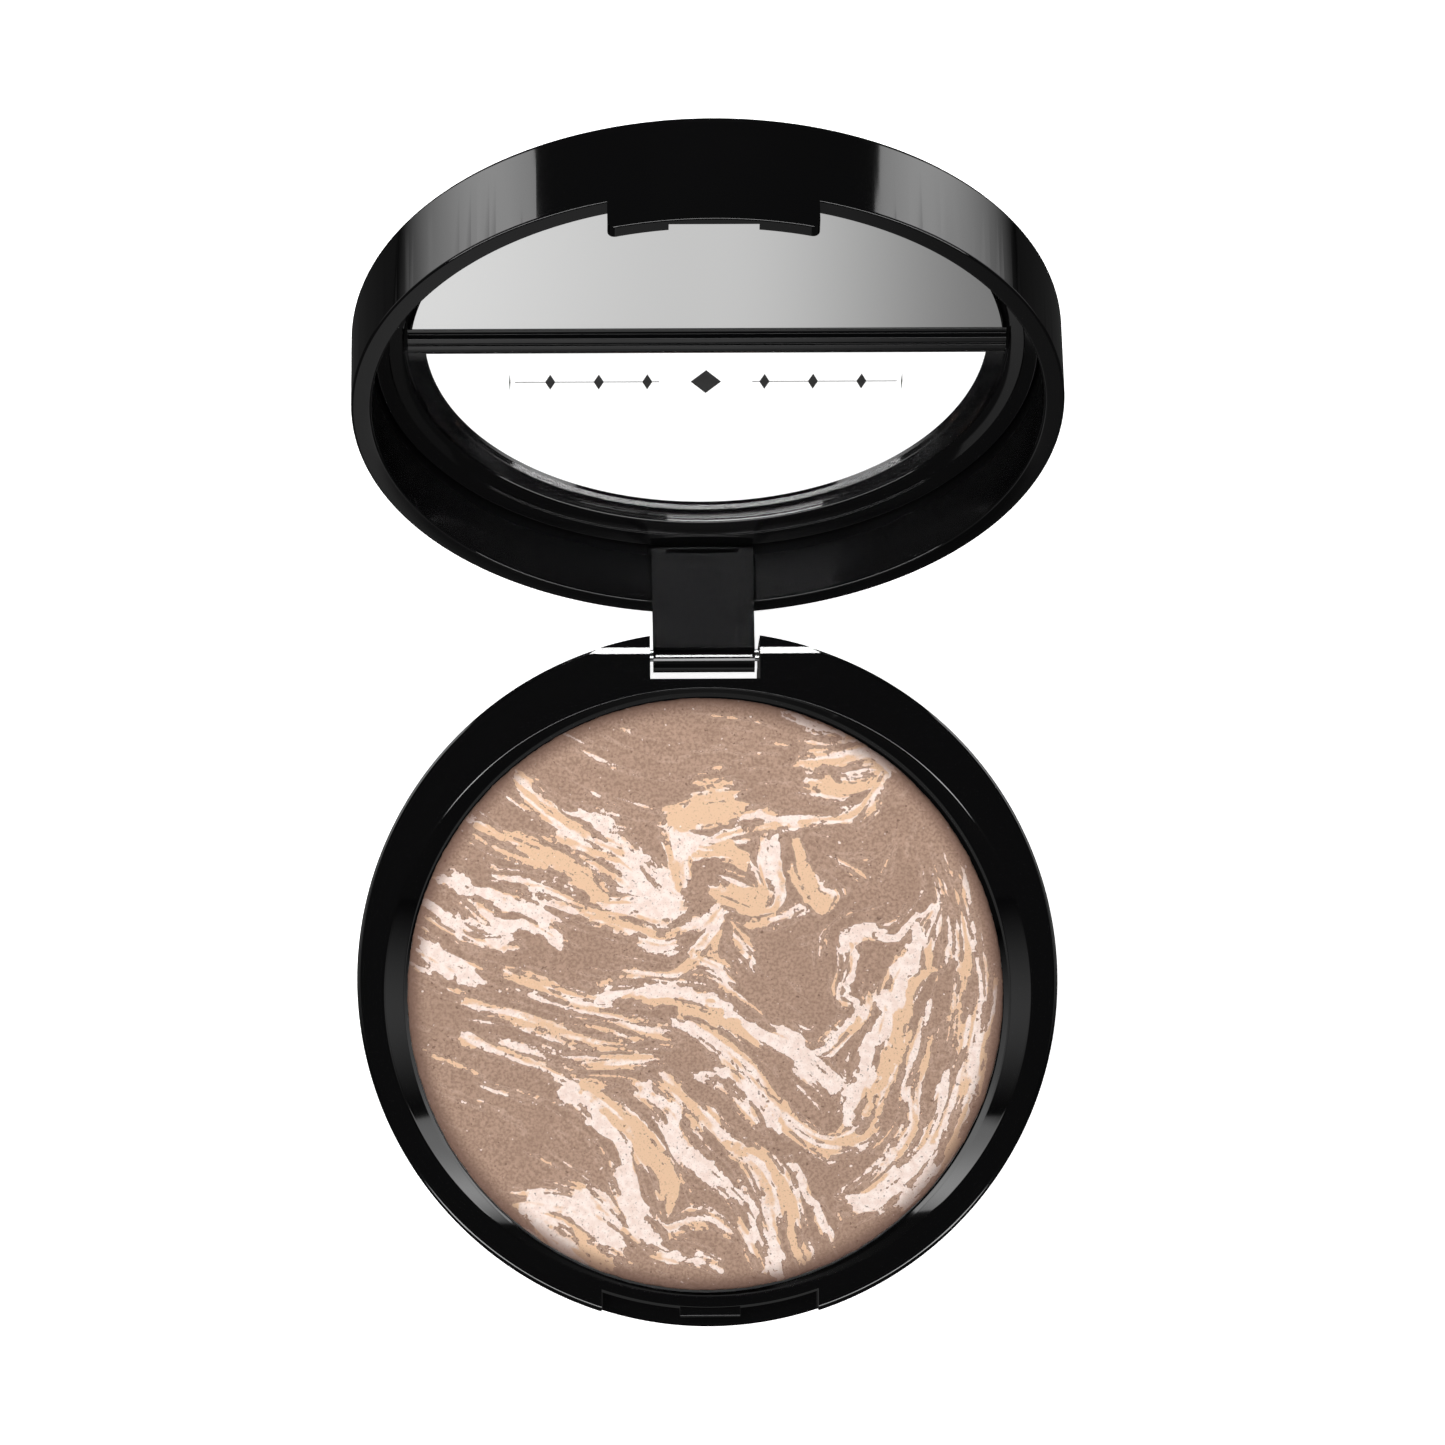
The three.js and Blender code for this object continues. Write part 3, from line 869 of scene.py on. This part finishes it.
# Where the light powders were laid, in millimetres from the cake's centre: a kind, the half-width and
# the curve. "w" is white, "p" peach, "m" both in turn, "d" fine streaks of both with brown between.
STREAKS = [
    ("m", 0.9, [(-18.7, 21.3), (-15.5, 18.3), (-11, 15.3), (-8.5, 14.3), (-4.5, 11.8)]),
    ("w", 0.5, [(-14, 18.8), (-10.5, 17.3), (-8, 16.8)]),
    ("w", 1.9, [(-7, 13.8), (-5.5, 10.3), (-3.5, 8.3)]),
    ("w", 1.3, [(-2.5, 15.6), (0.5, 14.3)]),
    ("p", 1.4, [(-3, 17), (0, 18), (3, 18.3)]),
    ("p", 0.4, [(-0.5, 20.8), (3, 21.3)]),
    ("m", 1.6, [(-2.5, 17.3), (-2.5, 10.3)]),
    ("p", 1.1, [(-0.5, 13.3), (2, 13.8), (4, 12.8)]),
    ("w", 0.4, [(1, 15.8), (4.5, 17), (10, 17.6)]),
    ("m", 1.3, [(6.5, 15.3), (6.3, 12.8), (7, 10.3), (6.5, 8.3), (4.5, 6.8)]),
    ("p", 1.1, [(9, 14.8), (9.5, 11.3), (11, 9.3), (12, 8.3)]),
    ("w", 0.5, [(11, 11.3), (13, 9.8), (11.5, 8)]),
    ("p", 1.6, [(1.5, 10.3), (6.5, 7.8)]),
    ("m", 0.7, [(1.5, 8.3), (0.5, 5.8), (-1, 3.3), (-2.5, 1.8)]),
    ("w", 0.6, [(-1, 3.3), (1.5, 2), (2.3, 1.3)]),
    ("w", 0.5, [(2.5, 6.3), (4, 4.3), (5.3, 2.3)]),
    ("m", 0.5, [(4.5, 6.8), (7.5, 6.8), (9.5, 7.8)]),
    ("m", 0.8, [(-14, 8.8), (-7.5, 6.8), (-4.5, 5.3), (-2, 6.3), (1.5, 7.8)]),
    ("m", 0.8, [(-10.5, 8.3), (-7, 8.8), (-2.5, 8.8)]),
    ("p", 1.2, [(-20.5, 15.8), (-17.5, 14.8), (-14, 12.8), (-11.5, 11.3), (-10.5, 9.3)]),
    ("p", 0.8, [(-23, 17.3), (-20, 15.3)]),
    ("w", 0.6, [(-26.5, 11.8), (-24, 10.8), (-21, 9.3), (-17.5, 7.8), (-14, 4.8)]),
    ("m", 0.6, [(-24.5, 10.3), (-21.5, 6.8), (-18, 6.8)]),
    ("w", 0.7, [(-27.5, 8.8), (-24.5, 6.8), (-21.5, 5.3), (-18.5, 6.3), (-14, 4.6)]),
    ("w", 1.2, [(-28.5, 4.8), (-26.5, 3.3), (-24, 2.3), (-22.5, 1.3)]),
    ("m", 0.5, [(-21.5, 11.8), (-18.5, 11.3), (-15.5, 10.8), (-12.5, 9.3)]),
    ("m", 0.6, [(-20, 1.8), (-16.5, 0.8), (-13, -0.7), (-9, -1.7)]),
    ("d", 1.2, [(-23.5, -1.7), (-20, -2.2), (-16, -3.7), (-12.5, -4.7), (-4.5, -5.7)]),
    ("d", 1.1, [(-23.5, -4.2), (-20.5, -5.2), (-16.5, -6.7), (-13, -7.7), (-4.5, -6.7)]),
    ("d", 1.0, [(-14, -2.2), (-10.5, -2.7), (-7, -4.2), (-3.5, -4.7)]),
    ("w", 0.8, [(-10.5, -0.7), (-8.5, 0.3), (-2.5, -0.2), (1.5, -1.2), (4, -3.2), (7, -5)]),
    ("w", 1.5, [(6.5, -4.7), (9, -5.9), (11.5, -7.9), (13, -9.4)]),
    ("p", 0.8, [(-8, -0.7), (-4, -0.9), (-0.5, -1.7), (2.5, -3.2), (4.5, -5.2)]),
    ("m", 0.8, [(-2.5, -2.7), (0.5, -4.7), (4, -8.2), (5.5, -10.7), (11, -15.2), (15.5, -14.7),
                (17.5, -13.2)]),
    ("w", 0.6, [(-1, -7.7), (1.5, -7.7), (3.5, -9.2), (5.5, -11.2), (7, -13.7)]),
    ("w", 1.2, [(-14, -9.7), (-11, -12.2), (-9, -14.7), (-8, -17.7), (-7.5, -21.2), (-4.5, -24.7)]),
    ("p", 1.3, [(-12, -9.7), (-9, -12.2), (-5.5, -15.7), (-3.5, -18.7), (-4, -21.7)]),
    ("w", 0.9, [(-6.5, -9.2), (-3.5, -12.2), (-2.5, -15.7), (-0.5, -17.7), (4, -21.7)]),
    ("m", 1.0, [(-4.5, -8.2), (-0.5, -12.2), (2, -14.7), (4.5, -17.2), (5.5, -20.2), (6.5, -27.2)]),
    ("p", 0.7, [(2.5, -15.2), (6.5, -17.2), (8, -20.2), (8.5, -23.7), (9.5, -27.2)]),
    ("w", 0.7, [(8.5, -17.2), (10, -20.2), (11.5, -22.7), (12, -24.7)]),
    ("w", 0.9, [(4, -21.7), (5.5, -24.7), (7, -27.7)]),
    ("m", 0.8, [(-3.5, -23.7), (-0.5, -22.7), (2, -24.2)]),
    ("m", 0.7, [(-4.5, -26.2), (-0.5, -27.2), (1.5, -28.2)]),
    ("w", 1.4, [(-18.5, -21.2), (-14, -21.2), (-11, -22.7), (-9, -24.2)]),
    ("m", 1.0, [(-17.5, -22.7), (-15, -25.2), (-11, -27.7)]),
    ("p", 0.8, [(-13.5, -23.7), (-11.5, -25.7), (-9.5, -27.2)]),
    ("w", 0.6, [(14, 5.3), (16, 5.8), (19, 5.3), (21.5, 7.3), (22.5, 8.8)]),
    ("w", 0.4, [(14, 5.3), (14.5, 2.3), (13.5, -0.2), (15.5, -1.7), (12.5, -4.7), (11, -6)]),
    ("w", 1.1, [(21, 6.3), (20, 2.3), (18.5, -0.7), (17.5, -3.7), (16, -7.7), (13.5, -13.7)]),
    ("p", 0.7, [(22.5, 5.3), (21.5, 1.3), (19.5, -1.7), (19, -5.7), (17.5, -9.2), (16, -12.7)]),
    ("d", 1.5, [(23.5, 13.8), (25, 9.3), (26, 4.3), (25.5, -0.7), (25, -5.7), (22, -14.7), (19.5, -18.2)]),
    ("d", 1.1, [(27, 5.3), (28, 0.3), (27, -4.7), (26, -9.7), (24, -14.7), (21.5, -18.7)]),
    ("d", 1.3, [(22.5, -1.7), (21.5, -6.2), (20, -9.7), (20.5, -13.7), (17.5, -17.7), (14.5, -20.2)]),
    ("w", 1.3, [(14, -21.2), (16.5, -20.7), (20, -18.7), (22.5, -16.2)]),
    ("w", 0.4, [(8, 28.1), (11, 26.8), (14, 25.8)]),
    ("m", 0.8, [(10, 22.8), (13, 23.3), (16.5, 24.3), (18.5, 22.8)]),
    ("p", 0.5, [(10.5, 21.3), (14.5, 20.3), (17, 20.8)]),
    ("m", 0.6, [(17.5, 21.3), (16, 18.3), (14.5, 17.1), (8.5, 16.8)]),
]
FIELD_HALF = 31.0                     # the fields reach this far from the cake's centre
FIELD_STEP = 0.15


def sampled(field, x, y):
    """A square field's values at points, blended between the four nearest."""
    last = len(field) - 1
    u = np.clip((x / FIELD_HALF + 1) / 2, 0, 0.99999) * last
    v = np.clip((y / FIELD_HALF + 1) / 2, 0, 0.99999) * last
    i = u.astype(int)
    j = v.astype(int)
    u = u - i
    v = v - j
    low = field[j, i] * (1 - u) + field[j, i + 1] * u
    high = field[j + 1, i] * (1 - u) + field[j + 1, i + 1] * u
    return low * (1 - v) + high * v


def random_field(rng, cell):
    count = round(2 * FIELD_HALF / cell) + 1
    return rng.random((count, count))


def streak_points(width, curve):
    """Points every 0.2 mm along a smooth curve, each with its direction and its half-width there."""
    knots = [Vector(p) for p in curve]
    knots = [2 * knots[0] - knots[1]] + knots + [2 * knots[-1] - knots[-2]]
    spans = len(knots) - 3
    out = []
    for k in range(spans):
        a, b, c, d = knots[k:k + 4]
        square = 2 * a - 5 * b + 4 * c - d
        cube = 3 * b - a - 3 * c + d
        count = max(2, round((c - b).length / 0.2))
        for i in range(count):
            t = i / count
            place = b + ((c - a) * t + square * t ** 2 + cube * t ** 3) / 2
            slope = (c - a) + 2 * square * t + 3 * cube * t ** 2
            whole = (k + t) / spans
            out.append((place.x, place.y, math.atan2(slope.y, slope.x),
                        width * (0.4 + 0.6 * math.sin(math.pi * whole) ** 0.5)))
    return out


def laid(grid_x, grid_y, kinds, wider=0.0):
    """1 where a streak of the kinds lies, fading to 0 at its edge."""
    field = np.zeros_like(grid_x)
    for kind, width, curve in STREAKS:
        if kind not in kinds:
            continue
        for x, y, _, half in streak_points(width + wider, curve):
            reach = int(1.4 * half / FIELD_STEP) + 2
            i = round((x + FIELD_HALF) / FIELD_STEP)
            j = round((y + FIELD_HALF) / FIELD_STEP)
            patch = (slice(max(0, j - reach), j + reach + 1), slice(max(0, i - reach), i + reach + 1))
            away = np.hypot(grid_x[patch] - x, grid_y[patch] - y) / half
            fade = np.clip((1.4 - away) / 0.8, 0, 1)
            field[patch] = np.maximum(field[patch], fade * fade * (3 - 2 * fade))
    return field


def flow():
    """The direction the powders were drawn in, as the cosine and sine of twice its angle."""
    side = np.linspace(-FIELD_HALF, FIELD_HALF, 63)
    grid_x, grid_y = np.meshgrid(side, side)
    cosine = np.zeros_like(grid_x)
    sine = np.zeros_like(grid_x)
    for _, width, curve in STREAKS:
        for x, y, angle, _ in streak_points(width, curve)[::2]:
            weight = ((grid_x - x) ** 2 + (grid_y - y) ** 2 + 0.5) ** -1.5
            cosine += weight * math.cos(2 * angle)
            sine += weight * math.sin(2 * angle)
    return cosine, sine


def drawn_out(noise, turn, x, y, reach):
    """The noise smeared along the flow, with a mean of 0.5."""
    stride = 0.18
    total = sampled(noise, x, y)
    for way in (-1, 1):
        at_x = x.copy()
        at_y = y.copy()
        last_x = np.zeros_like(x)
        last_y = np.zeros_like(y)
        for step in range(round(reach / stride)):
            angle = np.arctan2(sampled(turn[1], at_x, at_y), sampled(turn[0], at_x, at_y)) / 2
            step_x = np.cos(angle) * way
            step_y = np.sin(angle) * way
            turned_back = np.where(step_x * last_x + step_y * last_y < 0, -1, 1)
            last_x = step_x * turned_back
            last_y = step_y * turned_back
            at_x = at_x + last_x * stride
            at_y = at_y + last_y * stride
            total = total + sampled(noise, at_x, at_y)
    return 0.5 + 0.22 * (total - total.mean()) / total.std()


def marbling(x, y):
    """How light the powder is (over 0.5 is white or peach) and how peach (over 0), at points."""
    rng = np.random.default_rng(7)
    side = np.linspace(-FIELD_HALF, FIELD_HALF, round(2 * FIELD_HALF / FIELD_STEP) + 1)
    grid_x, grid_y = np.meshgrid(side, side)
    turn = flow()
    fine = drawn_out(random_field(rng, 0.22), turn, x, y, 1.6)
    broad = drawn_out(random_field(rng, 0.6), turn, x, y, 2.6)
    split = drawn_out(random_field(rng, 0.35), turn, x, y, 2.4)

    def nudged(values):
        """The values moved about, in broad swings and then in narrow ones."""
        for size, cell in ((1.6, 1.6), (0.8, 0.5)):
            values = values + size * (sampled(random_field(rng, cell), x, y) - 0.5)
        return values

    at_x = nudged(x)
    at_y = nudged(y)
    white, peach, both, dense = (sampled(laid(grid_x, grid_y, kind), at_x, at_y) for kind in "wpmd")
    near = sampled(laid(grid_x, grid_y, "wpmd", 1.1), at_x, at_y)
    amount = np.maximum.reduce([white, peach, 0.85 * both, 0.6 * dense, 0.42 * near])
    light = amount + 1.0 * (fine - 0.5) + 0.8 * (broad - 0.5) - 0.08
    return light, peach - white + 2.2 * (split - 0.5)


def make_powder(material):
    """The cake laps over its pan and rises to a low crown, with a slightly crumbled shoulder."""
    shoulder = 0.75
    lap = cake_low.z + 2.0
    start = CAKE_R - shoulder
    high = CAKE_EDGE_Z + 0.3
    rings = 168
    arc_steps = 8
    rng = np.random.default_rng(3)
    rows = [np.zeros((1, 2))]
    faces = []
    first = 1
    for k in range(1, rings + 1):
        angle = np.arange(6 * k) / (6 * k) * 2 * math.pi
        rows.append(np.stack([np.cos(angle), np.sin(angle)], 1) * start * k / rings)
        before = first - 6 * (k - 1) if k > 1 else 0
        inner = max(1, 6 * (k - 1))
        for sector in range(6):
            for j in range(k):
                a = first + (sector * k + j) % (6 * k)
                b = first + (sector * k + j + 1) % (6 * k)
                c = before + (sector * (k - 1) + j) % inner
                faces.append((a, b, c))
                if j < k - 1:
                    faces.append((c, b, before + (sector * (k - 1) + j + 1) % inner))
        first += 6 * k
    flat = np.concatenate(rows)
    radius = np.hypot(flat[:, 0], flat[:, 1])
    height = high + (CROWN - high) * (1 - (radius / start) ** 2)
    points = np.column_stack([flat, height])
    count = 6 * rings
    angle = np.arange(count) / count * 2 * math.pi
    ring_way = np.stack([np.cos(angle), np.sin(angle)], 1)
    crumble = np.convolve(np.tile(rng.random(count), 3), np.ones(5) / 5, "same")[count:2 * count]
    shoulder_rings = []
    for i in range(arc_steps - 1, -1, -1):
        turn = math.pi / 2 * i / arc_steps
        inset = 0.16 * crumble * math.cos(turn)
        ring_r = CAKE_R - shoulder * (1 - math.cos(turn)) - inset
        shoulder_rings.append((ring_r, CAKE_EDGE_Z - 0.2 + 0.5 * math.sin(turn)))
    shoulder_rings += [(CAKE_R - 0.1, lap + 0.02), (CAKE_R - 0.75, lap), (CAKE_R - 0.75, cake_low.z)]
    for ring_r, ring_z in shoulder_rings:
        xy = ring_way * (ring_r[:, None] if isinstance(ring_r, np.ndarray) else ring_r)
        points = np.concatenate([points, np.column_stack([xy, np.full(count, ring_z)])])
        new = len(points) - count
        old = new - count
        for i in range(count):
            j = (i + 1) % count
            faces.append((old + i, new + i, new + j, old + j))
    bottom = len(points)
    points = np.concatenate([points, [[0, 0, cake_low.z]]])
    for i in range(count):
        faces.append((bottom - count + i, bottom, bottom - count + (i + 1) % count))
    light, peach = marbling(points[:, 0], points[:, 1])
    cake = mesh_object("powder_cake_marbled", points + np.array([POWDER_X, WELL_Y, 0]), faces)
    reach = np.hypot(points[:, 0], points[:, 1])
    for name, values in (("light", light), ("peach", peach), ("reach", reach)):
        layer = cake.data.attributes.new(name, "FLOAT", "POINT")
        layer.data.foreach_set("value", values.astype(np.float32))
    soften(cake, 60)
    finish_piece(cake, "base", material, ["powder_cake"])


# ------------------------------------------------------------------ the lid


def half_moon(radius, edge, side, steps=STEPS // 2):
    """Outline of a round plate with a straight side at y = side * edge."""
    start = math.asin(edge / radius)
    out = []
    for i in range(steps + 1):
        turn = start + (math.pi - 2 * start) * i / steps
        out.append((radius * math.cos(turn), side * radius * math.sin(turn)))
    return out if side > 0 else out[::-1]


def pane(name, radius, edge, side, z0, z1, bevel):
    """A half-moon pane with ground edges."""
    layers = []
    for inset, z in ((bevel, z0), (0, z0 + bevel), (0, z1 - bevel), (bevel, z1)):
        outline = half_moon(radius - inset, edge + inset, side)
        layers.append([(x, y, z) for x, y in outline])
    return loft(name, layers)


def make_lid_frame(material):
    low = -TAB_DROP
    frame_part = turned("lid_frame_shell", rounded([
        (0, ROOF_UNDER), (LID_IN_R - 0.1, ROOF_UNDER), (LID_IN_R, low), (R, low), (R, LID_H), (0, LID_H),
    ], [0, 0.4, 0.1, 0.25, 0.85, 0]))
    cut(frame_part, make_mouth_cutter(low))
    tab_inside = block("tab_inside", (-TAB_HALF - 1, TAB_HALF + 1), (-R, 0), (low - 1, -0.001))
    keep(tab_inside, turned("tab_round", [(0, low - 1), (TAB_INNER_R, low - 1), (TAB_INNER_R, 0), (0, 0)]))
    cut(frame_part, tab_inside)
    nub_room = block("nub_room", (-NUB_ROOM_HALF, NUB_ROOM_HALF), (NUB_Y - SEAM, -30), (low - 1, -0.3))
    cut(frame_part, nub_room)
    opening = half_moon(WINDOW_R, WINDOW_EDGE, 1)
    wide = half_moon(WINDOW_R + 0.35, WINDOW_EDGE - 0.2, 1)
    cut(frame_part, loft("window_opening", [
        [(x, y, ROOF_UNDER - 0.5) for x, y in wide], [(x, y, ROOF_UNDER + 0.12) for x, y in wide],
        [(x, y, ROOF_UNDER + 0.4) for x, y in opening], [(x, y, LID_H + 2) for x, y in opening],
    ]))
    join(frame_part, make_tongue())
    cut(frame_part, round_bar("lid_bore", PIN_R + SEAM, -9, 9, HINGE.y, LID_PIN_Z))
    soften(frame_part, 16)
    true_walls(frame_part, R, LID_IN_R, lambda at: abs(at.x) < 3.7 and 31.7 < at.y < 32.3 and at.z < 6)
    satin = frame_part.data.attributes.new("satin", "FLOAT", "POINT")
    for vertex in frame_part.data.vertices:
        x, y, z = vertex.co / MM
        on_ledge = WINDOW_R + 0.4 < math.hypot(x, y) < LID_IN_R
        satin.data[vertex.index].value = float(z > ROOF_UNDER - 0.5 and on_ledge)
    finish_piece(frame_part, "lid", material, ["lid_frame"])


def make_mouth_cutter(low):
    """All that hangs below the lid's mouth apart from the catch tab, with the mouth's rounded edges."""
    out_edge, in_edge = 0.25, 0.2
    section = [(LID_IN_R - 2, low - 1), (R + 1, low - 1), (R + 1, out_edge), (R + 0.001, out_edge)]
    steps = 7
    for i in range(1, steps + 1):
        turn = math.pi / 2 * i / steps
        section.append((R - out_edge * (1 - math.cos(turn)), out_edge * (1 - math.sin(turn))))
    for i in range(steps + 1):
        turn = math.pi / 2 * (1 - i / steps)
        section.append((LID_IN_R + in_edge * (1 - math.cos(turn)), in_edge * (1 - math.sin(turn))))
    section.append((LID_IN_R - 2, in_edge))
    mouth = turned("mouth", section, closed=True)
    corner = 0.85
    outline = rounded([(-TAB_HALF, 1), (-TAB_HALF, low), (TAB_HALF, low), (TAB_HALF, 1)],
                      [0, corner, corner, 0], closed=True, steps=8)
    tab = loft("tab", [[(x, y, z) for x, z in outline] for y in (-30.0, -R - 2)])
    return cut(mouth, tab)


def make_tongue():
    """The arm inside the skirt, with a sunk panel between two ribs, and the knuckle round the pin."""
    front = HINGE.y - KNUCKLE_R
    width = (-TONGUE_HALF, TONGUE_HALF)
    top = 6.0
    arm = bar_x("tongue", [
        (front, LID_PIN_Z), (HINGE.y + KNUCKLE_R, LID_PIN_Z), (HINGE.y + KNUCKLE_R, top), (front, top),
    ], *width)
    join(arm, round_bar("knuckle", KNUCKLE_R, *width, HINGE.y, LID_PIN_Z, steps=96))
    keep(arm, turned("lid_round", [(0, -12), (R - 0.01, -12), (R - 0.01, 7), (0, 7)]))
    soften_edges(arm, 0.12)
    panel = 3.65
    low = LID_PIN_Z + 1.0
    high = top - 0.25
    step = high - 1.6
    panel_cut = bar_x("panel", [
        (front - 1, low), (front, low), (front + 0.36, low + 0.2), (front + 0.36, step - 0.28),
        (front + 0.395, step), (front + 0.395, high - 0.28), (front + 0.43, high), (front, high + 0.04),
        (front - 1, high + 0.04),
    ], -panel, panel)
    cut(arm, panel_cut)
    cut(arm, make_knuckle_grooves())
    return arm


def make_knuckle_grooves():
    """Two grooves along the knuckle's crown, drawn as they lie with the lid open."""
    crown = HINGE.z + KNUCKLE_R
    grooves = bar_x("groove_wide", [
        (32.85, crown + 1), (32.85, crown), (33.5, crown - 0.41), (33.62, crown + 0.1), (33.62, crown + 1),
    ], -TONGUE_HALF + 0.25, TONGUE_HALF - 0.25)
    slim = bar_x("groove_slim", [
        (32.3, crown + 1), (32.3, crown - 0.24), (32.44, crown - 0.33), (32.48, crown + 1),
    ], -TONGUE_HALF + 0.3, TONGUE_HALF - 0.3)
    join(grooves, slim)
    grooves.data.transform(LID.inverted())
    return grooves


def make_ring(material):
    """Two shallow steps down from the skirt to the panes, each with a rounded nose."""
    step = (31.2, 7.28)
    profile = rounded([
        (RING_IN[0], RING_IN[1] + 0.15), (RING_IN[0] + 0.2, RING_IN[1] - 0.02), step,
        (step[0] + 0.1, step[1] - 0.12), RING_LOW, (RING_LOW[0], INSERT_TOP), (RING_IN[0], INSERT_TOP),
    ], [0, 0, 0.05, 0.05, 0.16, 0.1, 0.1], closed=True)
    ring = turned("lid_inner_ring_shell", profile, closed=True)
    soften(ring)
    finish_piece(ring, "lid", material, ["lid_inner_ring"])


def make_bar(material):
    outline = rounded([
        (-BAR_HALF, INSERT_TOP), (-BAR_HALF, 7.45), (-1.1, 7.45), (-0.9, 7.0), (-0.25, 7.0), (-0.25, 7.2),
        (0.25, 7.2), (0.25, 7.0), (0.9, 7.0), (1.1, 7.45), (BAR_HALF, 7.45), (BAR_HALF, INSERT_TOP),
    ], [0.05, 0.1, 0.06, 0.1, 0.06, 0.04, 0.04, 0.06, 0.1, 0.06, 0.1, 0.05], closed=True)
    bar = bar_x("divider_bar_ribbed", [(y + BAR_Y, z) for y, z in outline], -BAR_LENGTH / 2, BAR_LENGTH / 2)
    soften(bar)
    finish_piece(bar, "lid", material, ["divider_bar"])


def make_panes(clear, mirror):
    edge = BAR_Y + BAR_HALF + PANE_GAP
    window = pane("lid_window_sheet", RING_IN[0] - SEAM, edge, 1, WINDOW_UNDER, INSERT_TOP, 0.12)
    soften(window)
    finish_piece(window, "lid", clear, ["lid_window"])
    glass = pane("lid_mirror_glass", MIRROR_R, BAR_HALF + PANE_GAP - BAR_Y, -1, 7.35, 8.05, 0.15)
    soften(glass)
    finish_piece(glass, "lid", mirror, ["lid_mirror"])


def lozenge(x, y, half_w, half_h):
    return [(x - half_w, y), (x, y - half_h), (x + half_w, y), (x, y + half_h)]


def make_ornament(material):
    """A printed hairline with lozenges on the inside of the window, purely geometric."""
    y = 5.6
    thick = 0.02
    line_half = 0.05
    parts = [lozenge(0, y, 1.5, 1.9)]
    for side in (-1, 1):
        parts.append(lozenge(side * 19.4, y, 0.07, 1.5))
        for x in (15.4, 10.6, 5.8):
            parts.append(lozenge(side * x, y, 0.5, 1.25))
    for x0, x1 in ((-18.9, -4.6), (4.6, 18.9)):
        parts.append([(x0, y - line_half), (x1, y - line_half), (x1, y + line_half), (x0, y + line_half)])
    vertices = []
    faces = []
    for outline in parts:
        first = len(vertices)
        count = len(outline)
        for z in (WINDOW_UNDER - thick, WINDOW_UNDER):
            vertices += [(corner_x, corner_y, z) for corner_x, corner_y in outline]
        faces.append(tuple(first + i for i in reversed(range(count))))
        faces.append(tuple(first + count + i for i in range(count)))
        for i in range(count):
            j = (i + 1) % count
            faces.append((first + i, first + j, first + count + j, first + count + i))
    print_piece = mesh_object("window_ornament", vertices, faces)
    finish_piece(print_piece, "lid", material)


# ------------------------------------------------------------------ everything together

add_camera()
add_floor()
add_mirror_card()
add_light()

black = black_plastic()
make_base_body(black)
make_base_bottom(black)
make_label(soft_stock("label_paper", (0.78, 0.78, 0.77), (0.86, 0.86, 0.85), 700, 0.6))
make_pin(metal("pin_steel", (0.7, 0.71, 0.72), 0.15, 0.3, (0.05, 1, 1)))
make_powder(pressed_powder())
make_lid_frame(black)
make_ring(black)
make_bar(black)
make_panes(clear_plastic(), mirror_silver())
make_ornament(soft_stock("window_ink", (0.02, 0.02, 0.02), (0.05, 0.05, 0.05), 900, 0.4))

hidden_looks = {
    "powder_pan": metal("pan_metal", (0.78, 0.79, 0.8), 0.25, 0.4, (1, 1, 1)),
    "pan_glue": soft_stock("glue", (0.72, 0.66, 0.5), (0.82, 0.78, 0.64), 300, 0.45),
    "mirror_tape": soft_stock("tape", (0.7, 0.68, 0.6), (0.78, 0.76, 0.7), 500, 0.8),
}
for node, look in hidden_looks.items():
    frame["nodes"][node].data.materials.clear()
    frame["nodes"][node].data.materials.append(look)

# the mirror looks past the base at the card in front of it
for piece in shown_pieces():
    if body_of(piece) == ["base"]:
        piece.visible_glossy = False
